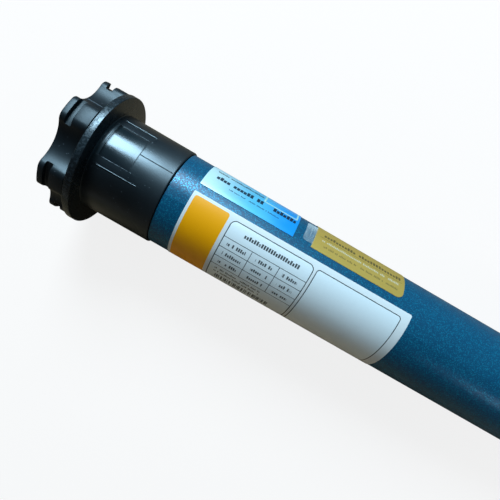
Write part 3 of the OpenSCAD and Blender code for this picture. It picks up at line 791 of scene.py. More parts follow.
@dataclass(frozen=True)
class Grainy(Finish):
    """Cast, sintered or pressed stuff: an even grain with flecks in it."""

    colour: Colour
    fleck: Colour
    metallic: float = 1.0
    rough: float = 0.5
    grain: float = 0.4
    relief: float = 0.02

    def paint(self, g: Surface) -> None:
        """Grain in the relief, flecks in the colour.

        Args:
            g: Node tree of the material.
        """
        grain = g.noise(g.point, 1 / self.grain, 4.0)
        fleck = g.cells(g.point, 0.7 / self.grain, "Distance").rise(0.34, 0.12)
        cloud = g.noise(g.point, 0.1, 3.0)
        g.shade({
            "Base Color": g.blend(fleck * 0.55 + cloud * 0.3, self.colour, self.fleck),
            "Metallic": self.metallic,
            "Roughness": self.rough + (grain - 0.5) * 0.2,
            "Normal": g.bump(grain * self.relief),
        })


@dataclass(frozen=True)
class SheetStack(Finish):
    """Stacked steel sheets: thin lines between them, a blue-grey scale on their edges."""

    sheet: float = 0.5
    steel: Tuple[Colour, Colour] = (srgb(128, 130, 134), srgb(92, 96, 106))
    shade: Colour = srgb(38, 38, 42)

    def paint(self, g: Surface) -> None:
        """The gap between two sheets is dark and low.

        Args:
            g: Node tree of the material.
        """
        gap = abs((g.x / self.sheet).part() - 0.5).rise(0.36, 0.46)
        scale = g.noise(g.point, 0.2, 4.0).rise(0.4, 0.7)
        steel = g.blend(scale, *self.steel)
        g.shade({
            "Base Color": g.blend(gap * 0.7, steel, self.shade),
            "Metallic": 0.9,
            "Roughness": 0.4 + scale * 0.15 + gap * 0.2,
            "Normal": g.bump(0.03 * (1 - gap)),
        })


@dataclass(frozen=True)
class WoundWire(Finish):
    """Enamelled copper wire in varnish."""

    wire: float = 0.5
    enamel_and_crease_shade: Tuple[Colour, Colour] = (srgb(178, 96, 48), srgb(92, 40, 18))

    def paint(self, g: Surface) -> None:
        """Strands lie round the axis and cross a little, with painted shade in the creases between them.

        Args:
            g: Node tree of the material.
        """
        ring = (g.y * g.y + g.z * g.z) ** 0.5
        sway = g.noise(g.point, 0.25, 2.0)
        strand = abs(((ring + g.x * 0.6 + sway * 2.0) / self.wire).part() - 0.5) * 2
        g.shade({
            # Painted shade: darker in the creases between strands.
            "Base Color": g.blend(strand * 0.6 + sway * 0.2, *self.enamel_and_crease_shade),
            "Metallic": 0.7 - strand * 0.2,
            "Roughness": 0.3 + strand * 0.15,
            "Coat Weight": 0.4 + sway * 0.2,
            "Normal": g.bump(0.12 * (1 - strand)),
        })


@dataclass(frozen=True)
class CircuitBoard(Finish):
    """Glass-fibre board with green mask, raised tracks and tinned pads."""

    mask: Tuple[Colour, Colour] = (srgb(18, 84, 48), srgb(46, 128, 74))
    tin: Colour = srgb(196, 196, 190)

    def paint(self, g: Surface) -> None:
        """Tracks under the mask, pads through it.

        Args:
            g: Node tree of the material.
        """
        cell = g.node(
            "ShaderNodeTexVoronoi", {"distance": "CHEBYCHEV"}, {"Vector": g.point, "Scale": 0.14}, "Distance"
        )
        track = abs((cell * 5).part() - 0.5).rise(0.3, 0.22)
        pad = g.cells(g.point, 0.3, "Distance").rise(0.24, 0.18)
        weave = g.noise(g.point, 1.5, 2.0)
        mask = g.blend(track * 0.6 + weave * 0.2, *self.mask)
        g.shade({
            "Base Color": g.blend(pad, mask, self.tin),
            "Metallic": pad * 0.9,
            "Roughness": 0.35 + weave * 0.1,
            "Normal": g.bump(track * 0.035 + pad * 0.05),
        })


WHITE: Colour = (1.0, 1.0, 1.0, 1.0)
DARK: Colour = (0.0, 0.0, 0.0, 1.0)
BLACK = srgb(9, 11, 14)
BLACK_LIGHT = srgb(26, 33, 39)
FINISHES: Dict[Slot, Finish] = {
    Slot.HEAD: StarPlastic("star_black", BLACK, BLACK_LIGHT, 0.42, 0.32, 0.016),
    Slot.CROWN: CrownPlastic("crown_black", BLACK, BLACK_LIGHT, 0.32, 0.36, 0.014),
    Slot.SOCKET: MouldedPlastic("socket_black", srgb(12, 12, 14), srgb(34, 35, 38), 0.45),
    Slot.ZINC: CutMetal("zinc_plate", srgb(178, 182, 186), srgb(150, 146, 128), 0.34, 3.0),
    Slot.CONTACT: CutMetal("drawn_brass", srgb(206, 170, 88), srgb(160, 120, 62), 0.25),
    Slot.GREY: MouldedPlastic("bracket_grey", srgb(62, 66, 70), srgb(92, 96, 100), 0.5),
    Slot.NATURAL: MouldedPlastic("natural_nylon", srgb(222, 214, 192), srgb(238, 234, 222), 0.42),
    Slot.STEEL: CutMetal("ground_steel", srgb(192, 194, 196), srgb(140, 138, 134), 0.24),
    Slot.MAGNET: Grainy("ferrite", srgb(52, 53, 56), srgb(84, 84, 86), 0.4, 0.55, 0.2, 0.01),
    Slot.PAINT: FlakePaint("blue_flake", srgb(0, 68, 102), srgb(30, 142, 176)),
    Slot.RATING: RatingPrint("rating_print"),
    Slot.INFO: InfoPrint("info_print"),
    Slot.SEAL: SealPrint("seal_print"),
    Slot.BOARD: CircuitBoard("green_board"),
    Slot.RELAY: MouldedPlastic("relay_blue", srgb(36, 62, 140), srgb(62, 92, 172), 0.38),
    Slot.TERMINAL: MouldedPlastic("terminal_green", srgb(40, 118, 72), srgb(72, 150, 100), 0.42),
    Slot.WINDING: WoundWire("copper_wire"),
    Slot.SLEEVE: MouldedPlastic("sleeve_dark", srgb(26, 30, 40), srgb(52, 58, 70), 0.3),
    Slot.WHITE: MouldedPlastic("capacitor_white", srgb(222, 222, 216), srgb(240, 240, 236), 0.4),
    Slot.CAST: Grainy("cast_alloy", srgb(158, 160, 163), srgb(122, 124, 128), 1.0, 0.48, 0.7, 0.03),
    Slot.CORE: SheetStack("core_sheets"),
    Slot.LINING: Grainy("friction_lining", srgb(86, 70, 56), srgb(150, 124, 74), 0.1, 0.8, 0.5, 0.06),
    Slot.GEAR: Grainy("sintered_steel", srgb(138, 138, 140), srgb(96, 96, 100), 1.0, 0.38, 0.25, 0.01),
    Slot.BUSH: Grainy("sintered_bronze", srgb(184, 138, 78), srgb(140, 98, 52), 1.0, 0.42, 0.3, 0.015),
}


# Modelling


def rest_bench() -> None:
    """Leave edit mode and deselect everything."""
    if bpy.context.object is not None and bpy.context.object.mode != "OBJECT":
        bpy.ops.object.mode_set(mode="OBJECT")
    bpy.ops.object.select_all(action="DESELECT")


def take(piece: bpy.types.Object) -> None:
    """Select one object alone and make it active.

    Args:
        piece: The object.
    """
    rest_bench()
    piece.select_set(True)
    bpy.context.view_layer.objects.active = piece


@contextmanager
def editing() -> Iterator[None]:
    """Edit the active object, with all of it selected.

    Yields:
        Nothing, once edit mode is on.
    """
    bpy.ops.object.mode_set(mode="EDIT")
    bpy.ops.mesh.select_all(action="SELECT")
    yield
    bpy.ops.object.mode_set(mode="OBJECT")


def pick(kind: Element, elements: Sequence[Any], test: Callable[[Any], bool]) -> None:
    """Select only the faces, edges or corners of the active object that pass a test.

    Args:
        kind: Kind of element.
        elements: All its elements of this kind.
        test: Says whether an element is taken.
    """
    bpy.ops.object.mode_set(mode="EDIT")
    bpy.ops.mesh.select_mode(type=kind.value)
    bpy.ops.mesh.select_all(action="DESELECT")
    bpy.ops.object.mode_set(mode="OBJECT")
    for element in elements:
        element.select = test(element)


def bevel(width: float, segments: int, corners: bool = False) -> None:
    """Round the selected edges or corners of the active object.

    Args:
        width: Width of the rounding.
        segments: Steps of the rounding.
        corners: Whether corners of a flat sheet are rounded.
    """
    bpy.ops.object.mode_set(mode="EDIT")
    bpy.ops.mesh.bevel(offset=width * MM, segments=segments, affect="VERTICES" if corners else "EDGES")
    bpy.ops.object.mode_set(mode="OBJECT")


def round_edges(
    piece: bpy.types.Object, width: float, test: Callable[[Any, Any], bool], segments: int = 4
) -> None:
    """Round the edges whose two ends pass a test.

    Args:
        piece: The object, which is active.
        width: Width of the rounding.
        test: Says whether an edge between these two points is taken.
        segments: Steps of the rounding.
    """
    points = piece.data.vertices
    pick(Element.EDGE, piece.data.edges, lambda edge: test(*(points[end].co for end in edge.vertices)))
    bevel(width, segments)


def step_end(
    piece: bpy.types.Object, direction: Sequence[float], steps: Sequence[Tuple[float, float]]
) -> None:
    """Step the flat end of a piece in, and up or down.

    Args:
        piece: The object, which is active.
        direction: Direction that the end faces.
        steps: How far each step goes in from the outline, and how far it then rises.
    """
    pick(Element.FACE, piece.data.polygons, lambda face: np.dot(face.normal, direction) > FACING)
    bpy.ops.object.mode_set(mode="EDIT")
    for inset, rise in steps:
        bpy.ops.mesh.inset(thickness=inset * MM)
        move = [part * rise * MM for part in direction]
        bpy.ops.mesh.extrude_region_move(TRANSFORM_OT_translate={"value": move})
    bpy.ops.object.mode_set(mode="OBJECT")


def apply_modifier(piece: bpy.types.Object, kind: str, settings: Dict[str, Any]) -> None:
    """Add a modifier, set it and apply it.

    Args:
        piece: The object.
        kind: Type of the modifier.
        settings: Settings of the modifier.
    """
    take(piece)
    modifier = piece.modifiers.new(kind.lower(), kind)
    for key, value in settings.items():
        setattr(modifier, key, value)
    bpy.ops.object.modifier_apply(modifier=modifier.name)


def smooth(piece: bpy.types.Object, angle: float = 32.0) -> None:
    """Close the mesh, turn its faces outwards and shade it smooth up to an angle.

    Args:
        piece: The object.
        angle: Angle in degrees above which an edge stays sharp.
    """
    take(piece)
    with editing():
        bpy.ops.mesh.remove_doubles(threshold=WELD)
        bpy.ops.mesh.normals_make_consistent(inside=False)
    bpy.ops.object.shade_smooth_by_angle(angle=math.radians(angle))


def cut(piece: bpy.types.Object, cutter: bpy.types.Object) -> None:
    """Cut a piece with another object, which is used up.

    Args:
        piece: The piece.
        cutter: What is taken from it.
    """
    apply_modifier(piece, "BOOLEAN", {"operation": "DIFFERENCE", "solver": "EXACT", "object": cutter})
    bpy.data.objects.remove(cutter)


def add_box(centre: Sequence[float], size: Sequence[float], turn: float = 0.0) -> bpy.types.Object:
    """Add a box.

    Args:
        centre: Its centre.
        size: Its length along each axis.
        turn: Its turn about the motor axis, in radians.

    Returns:
        The box.
    """
    rest_bench()
    bpy.ops.mesh.primitive_cube_add(size=1, location=[v * MM for v in centre], rotation=(turn, 0, 0))
    box = bpy.context.object
    box.scale = [v * MM for v in size]
    bpy.ops.object.transform_apply(location=True, rotation=True, scale=True)
    return box


def add_rod(
    centre: Sequence[float], radius: float, length: float, sides: int, upright: bool = False
) -> bpy.types.Object:
    """Add a round rod along the motor axis, or an upright one.

    Args:
        centre: Its centre.
        radius: Its radius.
        length: Its length.
        sides: Points in its outline.
        upright: Whether it stands along Z.

    Returns:
        The rod.
    """
    rest_bench()
    bpy.ops.mesh.primitive_cylinder_add(
        vertices=sides, radius=radius * MM, depth=length * MM,
        location=[v * MM for v in centre], rotation=(0, 0 if upright else math.pi / 2, 0),
    )
    bpy.ops.object.transform_apply(location=True, rotation=True, scale=False)
    return bpy.context.object


def join(pieces: Sequence[bpy.types.Object], name: str) -> bpy.types.Object:
    """Join objects to one.

    Args:
        pieces: The objects, of which the first takes up the others.
        name: Name of the result.

    Returns:
        The first object.
    """
    take(pieces[0])
    for piece in pieces:
        piece.select_set(True)
    bpy.ops.object.join()
    pieces[0].name = name
    return pieces[0]


def turned_copies(piece: bpy.types.Object, angles: Sequence[float]) -> List[bpy.types.Object]:
    """Copies of a piece that stands at the top, each with its own mesh, at angles about the axis.

    Args:
        piece: The piece at the top, which is used up.
        angles: Angles from the top, positive towards +Y.

    Returns:
        The copies.
    """
    copies = []
    for angle in angles:
        copy = piece.copy()
        copy.data = piece.data.copy()
        bpy.context.scene.collection.objects.link(copy)
        take(copy)
        copy.rotation_euler = (-math.radians(angle), 0, 0)
        bpy.ops.object.transform_apply(location=False, rotation=True, scale=False)
        copies.append(copy)
    bpy.data.objects.remove(piece)
    return copies


@dataclass(frozen=True)
class Ring:
    """One ring of a lofted body: its place along the axis and its radius, which may vary with the angle."""

    x: float
    radius: Radius
    turn: Optional[Callable[[np.ndarray], np.ndarray]] = None


def loft(name: str, count: int, rings: Sequence[Ring]) -> bpy.types.Object:
    """A closed body whose section runs through the rings and back to the first one.

    Args:
        name: Name of the piece.
        count: Points in each ring.
        rings: The rings, in order round the section.

    Returns:
        The piece.
    """
    rest_bench()
    bpy.ops.mesh.primitive_circle_add(vertices=count, radius=1.0, rotation=(0, math.pi / 2, 0))
    piece = bpy.context.object
    piece.name = name
    bpy.ops.object.transform_apply(location=False, rotation=True, scale=False)
    with editing():
        for _ in rings:
            bpy.ops.mesh.extrude_edges_move(TRANSFORM_OT_translate={"value": (1, 0, 0)})
    points = np.empty(len(piece.data.vertices) * 3, np.float32)
    piece.data.vertices.foreach_get("co", points)
    points = points.reshape(-1, 3).astype(float)
    order = np.rint(points[:, 0]).astype(int) % len(rings)
    angles = np.degrees(np.arctan2(points[:, 1], points[:, 2]))
    for index, ring in enumerate(rings):
        chosen = order == index
        angle = angles[chosen] if ring.turn is None else ring.turn(angles[chosen])
        radius = ring.radius(angle) if callable(ring.radius) else np.full(angle.shape, ring.radius)
        around = np.radians(angle)
        points[chosen] = np.column_stack(
            [np.full(angle.shape, ring.x), radius * np.sin(around), radius * np.cos(around)]
        )
    piece.data.vertices.foreach_set("co", (points * MM).astype(np.float32).ravel())
    piece.data.update()
    smooth(piece)
    return piece


def arc_rings(x: float, radius: float, step: float, start: float, end: float) -> List[Tuple[float, float]]:
    """Points of a round edge.

    Args:
        x: Centre along the axis.
        radius: Distance of the centre from the axis.
        step: Radius of the edge.
        start: First angle, in degrees from the outward direction towards +X.
        end: Last angle.

    Returns:
        Places along the axis and distances from it.
    """
    turn = np.radians(np.linspace(start, end, ARC_POINTS))
    return [(x + step * math.sin(t), radius + step * math.cos(t)) for t in turn]


def hand_in(
    piece: bpy.types.Object,
    body: Body,
    slot: Slot,
    nodes: Sequence[str] = (),
    finish: Optional[Finish] = None,
) -> bpy.types.Object:
    """Dress a piece, put it on its body and hide the nodes that it stands for.

    Args:
        piece: The piece.
        body: Body that it moves with.
        slot: Material slot that it belongs to.
        nodes: CAD nodes that it replaces.
        finish: Its finish, where it isn't the slot's.

    Returns:
        The piece.
    """
    piece.data.materials.clear()
    piece.data.materials.append(material(finish or FINISHES[slot]))
    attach(piece, body.value)
    for node in nodes:
        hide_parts(node)
    LOG.info("%s: %d faces on %s", piece.name, len(piece.data.polygons), body.value)
    return piece


# Sub-assemblies


@dataclass(frozen=True)
class Rivets:
    """Blind rivets that hold the tube to the head and to the output cover.

    Attributes:
        tube: Radius of the tube.
        head, height, dome: Radius, height and rounding of a rivet's head.
        shank: Radius of the shank.
        head_place, head_depth, head_angles: Rivets in the head: place, end of the shank, and angles.
        output_place, output_depth, output_angles: Rivets in the output cover.
        eye_wall, eye_depth: Ring round the pulled-in middle, and its depth.
        stem_gap, stem_rise: Gap round the broken stem, and how far it stands up.
    """

    tube: float = 22.5
    head: float = 3.0
    height: float = 0.45
    shank: float = 1.6
    head_place: float = 46.9
    output_place: float = 559.22
    head_depth: float = 18.75
    output_depth: float = 16.05
    head_angles: Tuple[float, ...] = (120.0, 240.0)
    output_angles: Tuple[float, ...] = (45.0, 135.0, 225.0, 315.0)
    dome: float = 0.36
    eye_wall: float = 1.5
    eye_depth: float = 0.3
    stem_gap: float = 0.25
    stem_rise: float = 0.12

    def rivet(self, x: float, depth: float) -> bpy.types.Object:
        """One rivet at the top: domed head with a pulled-in middle, and its shank.

        Args:
            x: Place along the axis.
            depth: Distance of the shank's end from the axis.

        Returns:
            The rivet.
        """
        piece = add_rod((x, 0, self.tube + self.height / 2), self.head, self.height, 40, upright=True)
        top = (self.tube + self.height) * MM
        round_edges(piece, self.dome, lambda a, b: min(a.z, b.z) > top - TOUCH)
        step_end(piece, (0, 0, 1), [(self.eye_wall, -self.eye_depth), (self.stem_gap, self.stem_rise)])
        step_end(piece, (0, 0, -1), [(self.head - self.shank, self.tube - depth)])
        smooth(piece)
        return piece

    def build(self) -> None:
        """Build and dress both sets."""
        head = turned_copies(self.rivet(self.head_place, self.head_depth), self.head_angles)
        hand_in(join(head, "head_rivet_set"), Body.MOTOR, Slot.ZINC, ["head_rivets"])
        output = turned_copies(self.rivet(self.output_place, self.output_depth), self.output_angles)
        hand_in(join(output, "output_rivet_set"), Body.MOTOR, Slot.ZINC, ["output_rivets"])


@dataclass(frozen=True)
class CoverScrews:
    """Screws of the end cover: a low head with a cross recess, and a shank."""

    face: float = END_FACE
    circle: float = 16.5
    angles: Tuple[float, ...] = (60.0, 180.0, 300.0)
    head: float = 1.8
    height: float = 1.2
    edge: float = 0.35
    shank: float = 1.0
    length: float = 6.0
    recess: Tuple[float, float, float] = (1.3, 2.3, 0.42)

    def build(self) -> bpy.types.Object:
        """Build the screws.

        Returns:
            The screws, in one piece.
        """
        screw = add_rod((self.face + self.height / 2, 0, self.circle), self.head, self.height, 40)
        round_edges(screw, self.edge, lambda a, b: max(a.x, b.x) < self.face * MM + TOUCH)
        step_end(screw, (1, 0, 0), [(self.head - self.shank, self.length)])
        for turn in (0.0, math.pi / 2):
            cut(screw, add_box((self.face, 0, self.circle), self.recess, turn))
        smooth(screw)
        return join(turned_copies(screw, self.angles), "cover_screw_set")


@dataclass(frozen=True)
class CableSocket:
    """Cable socket: a box with round edges, open to the end, with holes for the pins.

    Attributes:
        face: Place of the mouth.
        size: Size of the box.
        wall: Wall of the mouth.
        depth: Depth of the mouth.
        corner: Radius of the long outer edges.
        chamfer: Rounding of the mouth's edge.
        rim: Distance from the middle that parts the outer edges from those of the mouth.
        pins: Number of pins.
        pin_pitch: Distance from pin to pin.
        pin_hole: Radius of a pin's hole.
        pin_place: Middle of a pin's hole, from the mouth.
        pin_drill: Length of the drill.
    """

    face: float = END_FACE
    size: Tuple[float, float, float] = (19.0, 20.0, 12.0)
    wall: float = 1.6
    depth: float = 13.0
    corner: float = 1.0
    chamfer: float = 0.25
    rim: float = 9.0
    pins: int = 4
    pin_pitch: float = 3.9
    pin_hole: float = 0.85
    pin_place: float = 16.2
    pin_drill: float = 8.0

    def build(self) -> bpy.types.Object:
        """Build the socket.

        Returns:
            The socket.
        """
        box = add_box((self.face + self.size[0] / 2, 0, 0), self.size)
        box.name = "cable_inlet"
        step_end(box, (-1, 0, 0), [(self.wall, -self.depth)])
        rim, mouth = self.rim * MM, self.face * MM + TOUCH
        round_edges(box, self.corner, lambda a, b: abs(a.x - b.x) > TOUCH and abs(a.y) > rim)
        round_edges(
            box, self.chamfer, lambda a, b: max(a.x, b.x) < mouth and max(abs(a.y), abs(b.y)) < rim, 3
        )
        for pin in range(self.pins):
            side = (pin - (self.pins - 1) / 2) * self.pin_pitch
            cut(box, add_rod((self.face + self.pin_place, side, 0), self.pin_hole, self.pin_drill, 24))
        smooth(box)
        return box


@dataclass
class StarHead:
    """The fixed head: a six-lobed star with a clip groove, a spigot in the tube and the cable inlet.

    Attributes:
        start, end: End face and back of the star.
        radius, valley: Distance of the crests and of the valleys from the axis.
        scallop, corner: Radius of the valleys and of the lobes' corners.
        lobes, lobe_angle: Number of lobes, and the angle of the first.
        edge, back: Rounding at the end face and at the back.
        groove, groove_radius: Sides and bottom of the clip groove.
        lip, lip_curve: Rounding of the groove's mouth, and its points as shares of it.
        fillet: Rounding at the groove's bottom.
        points, drawn: Points of a ring, and how many of them are drawn to each end of the groove.
        spigot, spigot_end: Radius and end of the spigot.
        root, chamfer, lead: Rounding at the spigot's root, small chamfers, and the chamfer at its end.
        bore, wall_end, hole: Bore, inner face of the end wall and the hole in it.
        seat, seat_end: Seat of the end cover.
        relief_angle: Angle of the lobe whose lip is cut back.
        relief_start, relief_end: Where the cut starts and ends across the lobe.
        relief_slope, relief_floor: How far the cut leans, and its bottom.
        spare: How far the cut reaches past the lip.
        window, window_size: Window for the counter's pinion.
        drill: Length of the drills.
        rivet_level, rivet_hole: Middle and radius of the rivets' holes.
        screw_hole, screw_depth: Radius of the screws' holes, and their middle from the wall's inner face.
        rivets: Rivets that the holes are for.
        screws, socket: Pieces that sit in the end face.
    """

    start: float = END_FACE
    end: float = -3.6
    radius: float = 31.0
    valley: float = 24.8
    scallop: float = 14.0
    corner: float = 3.8
    lobes: int = 6
    lobe_angle: float = 21.9
    edge: float = 0.35
    groove: Tuple[float, float] = (-12.9, -10.0)
    groove_radius: float = 28.8
    lip: float = 0.2
    lip_curve: Tuple[Tuple[float, float], ...] = ((1.0, 0.0), (0.5, 0.13), (0.13, 0.5), (0.0, 1.0))
    fillet: float = 0.5
    points: int = 720
    drawn: int = 6
    spigot: float = 21.2
    spigot_end: float = 59.9
    bore: float = 18.7
    wall_end: float = -8.3
    seat: float = 19.05
    seat_end: float = -13.3
    hole: float = 14.0
    back: float = 0.15
    root: float = 0.5
    chamfer: float = 0.3
    lead: float = 0.6
    relief_angle: float = 81.9
    relief_start: float = -3.4
    relief_end: float = 8.0
    relief_slope: float = 0.416
    relief_floor: float = 28.77
    spare: float = 1.0
    window: Tuple[float, float, float] = (23.75, 0.0, -19.95)
    window_size: Tuple[float, float, float] = (8.7, 12.15, 7.5)
    drill: float = 8.0
    rivet_level: float = 22.0
    rivet_hole: float = 1.65
    screw_hole: float = 1.05
    screw_depth: float = 2.5
    rivets: Rivets = Rivets()
    screws: CoverScrews = CoverScrews()
    socket: CableSocket = CableSocket()

    def outline(self, angle: np.ndarray) -> np.ndarray:
        """Radius of the star: scallop, round corner, crest.

        Args:
            angle: Angles about the axis.

        Returns:
            The radius at each angle.
        """
        pitch = 360 / self.lobes
        off = np.radians(np.abs((angle - self.lobe_angle) % pitch - pitch / 2))
        scallop_centre = self.valley + self.scallop
        corner_centre = self.radius - self.corner
        reach = self.scallop + self.corner
        across = (corner_centre**2 + scallop_centre**2 - reach**2) / (2 * corner_centre * scallop_centre)
        corner_at = math.acos(across)
        share = self.scallop / reach
        touch = math.atan2(
            corner_centre * math.sin(corner_at) * share,
            scallop_centre + (corner_centre * math.cos(corner_at) - scallop_centre) * share,
        )
        dip = self.scallop**2 - (scallop_centre * np.sin(off)) ** 2
        valley = scallop_centre * np.cos(off) - np.sqrt(np.maximum(dip, 0))
        lean = off - corner_at
        bulge = self.corner**2 - (corner_centre * np.sin(lean)) ** 2
        corner = corner_centre * np.cos(lean) + np.sqrt(np.maximum(bulge, 0))
        return np.where(off < touch, valley, np.where(off < corner_at, corner, self.radius))

    def inset(self, depth: float) -> Radius:
        """The star's outline, set in by a depth."""
        return lambda angle: self.outline(angle) - depth

    def lipped(self, depth: float) -> Radius:
        """The outline set in by a depth, but no deeper than the groove.

        Args:
            depth: The depth.

        Returns:
            The radius as a function of the angle.
        """
        return lambda angle: np.maximum(
            np.minimum(self.outline(angle), self.groove_radius), self.outline(angle) - depth
        )

    def floor(self, lift: float) -> Radius:
        """Bottom of the groove, lifted a little at its sides."""
        return lambda angle: np.minimum(self.outline(angle), self.groove_radius + lift)

    def crossing(self, radius: float) -> float:
        """Angle from the middle of a lobe at which the outline has fallen to a radius."""
        fan = np.linspace(0, 180 / self.lobes, 2001)
        return float(np.interp(-radius, -self.outline(fan + self.lobe_angle), fan))

    def settle(self, lift: float) -> Callable[[np.ndarray], np.ndarray]:
        """Draw the nearest points of a ring onto the ends of the groove on each lobe.

        Args:
            lift: Height of the ring above the groove's bottom.

        Returns:
            What turns the angles of the ring's points.
        """
        grid, half = 360 / self.points, 180 / self.lobes
        base, end = self.crossing(self.groove_radius), self.crossing(self.groove_radius + lift)

        def turn(angle: np.ndarray) -> np.ndarray:
            """Move the points of a ring.

            Args:
                angle: Their angles.

            Returns:
                Their angles after the move.
            """
            off = (angle - self.lobe_angle + half) % (2 * half) - half
            far = np.abs(off) - base
            step = np.rint(far / grid)
            shift = (end - base - (far - step * grid)) * np.clip(1 - np.abs(step) / self.drawn, 0, 1)
            return angle + np.sign(off) * shift

        return turn

    def rings(self) -> List[Ring]:
        """Section of the head, from the end face over the lobes and back through the bore.

        Returns:
            The rings of the section.
        """
        e, c, left, right = self.edge, self.chamfer, *self.groove
        rings = [Ring(self.start + e + x, self.inset(e - r)) for x, r in arc_rings(0, 0, e, -90, 0)]
        near = [(self.lip * x, self.lip * depth) for x, depth in self.lip_curve]
        deep = [(self.fillet + x, self.fillet - r) for x, r in arc_rings(0, 0, self.fillet, -90, 0)]
        rings += [Ring(left - x, self.lipped(depth), self.settle(0)) for x, depth in near]
        rings += [Ring(left + x, self.floor(lift), self.settle(lift)) for x, lift in deep]
        rings += [Ring(right - x, self.floor(lift), self.settle(lift)) for x, lift in reversed(deep)]
        rings += [Ring(right + x, self.lipped(depth), self.settle(0)) for x, depth in reversed(near)]
        back, lead, far = self.back, self.lead, self.spigot_end
        rings += [Ring(self.end - back + x, self.inset(back - r)) for x, r in arc_rings(0, 0, back, 0, 90)]
        rings += [Ring(self.end, self.spigot + self.root), Ring(self.end + c, self.spigot)]
        rings += [Ring(far - lead, self.spigot), Ring(far, self.spigot - lead)]
        rings += [Ring(far, self.bore + c), Ring(far - c, self.bore)]
        rings += [Ring(self.wall_end, self.bore), Ring(self.wall_end, self.hole)]
        rings += [Ring(self.seat_end, self.hole), Ring(self.seat_end, self.seat)]
        rings += [Ring(self.start + c, self.seat), Ring(self.start, self.seat + c)]
        return rings

    def relief(self) -> bpy.types.Object:
        """What is cut from the lip of one lobe: a wedge that opens the groove towards the lobe's far side.

        Returns:
            The wedge, turned to its lobe.
        """
        lows = (self.start - self.spare, self.relief_start, self.relief_floor)
        highs = (self.groove[0] + self.spare, self.relief_end, self.radius + 2 * self.spare)
        ends = list(zip(lows, highs))
        wedge = add_box([(low + high) / 2 for low, high in ends], [high - low for low, high in ends])
        with editing():
            bpy.ops.mesh.bisect(
                plane_co=(self.groove[0] * MM, self.relief_start * MM, 0),
                plane_no=(1, self.relief_slope, 0), use_fill=True, clear_inner=True,
            )
        return turned_copies(wedge, (self.relief_angle,))[0]

    def cutter(self) -> bpy.types.Object:
        """What is cut from the head: the pinion's window, the rivet and screw holes, and the lip's relief.

        Returns:
            The cutter, in one piece.
        """
        window = add_box(self.window, self.window_size)
        rivet_place = (self.rivets.head_place, 0, self.rivet_level)
        rivet = add_rod(rivet_place, self.rivet_hole, self.drill, 32, upright=True)
        screw_place = (self.wall_end - self.screw_depth, 0, self.screws.circle)
        screw = add_rod(screw_place, self.screw_hole, self.drill, 24)
        holes = turned_copies(rivet, self.rivets.head_angles) + turned_copies(screw, self.screws.angles)
        return join([window, self.relief()] + holes, "head_cutter")

    def moulding(self) -> bpy.types.Object:
        """The head in one moulding.

        Returns:
            The moulding.
        """
        piece = loft("star_moulding", self.points, self.rings())
        cut(piece, self.cutter())
        smooth(piece)
        return piece

    def build(self) -> None:
        """Build and dress the head's pieces."""
        hand_in(self.moulding(), Body.MOTOR, Slot.HEAD, ["star_head"])
        hand_in(self.screws.build(), Body.MOTOR, Slot.ZINC, ["cover_screws"])
        hand_in(self.socket.build(), Body.MOTOR, Slot.SOCKET, ["cable_socket"])


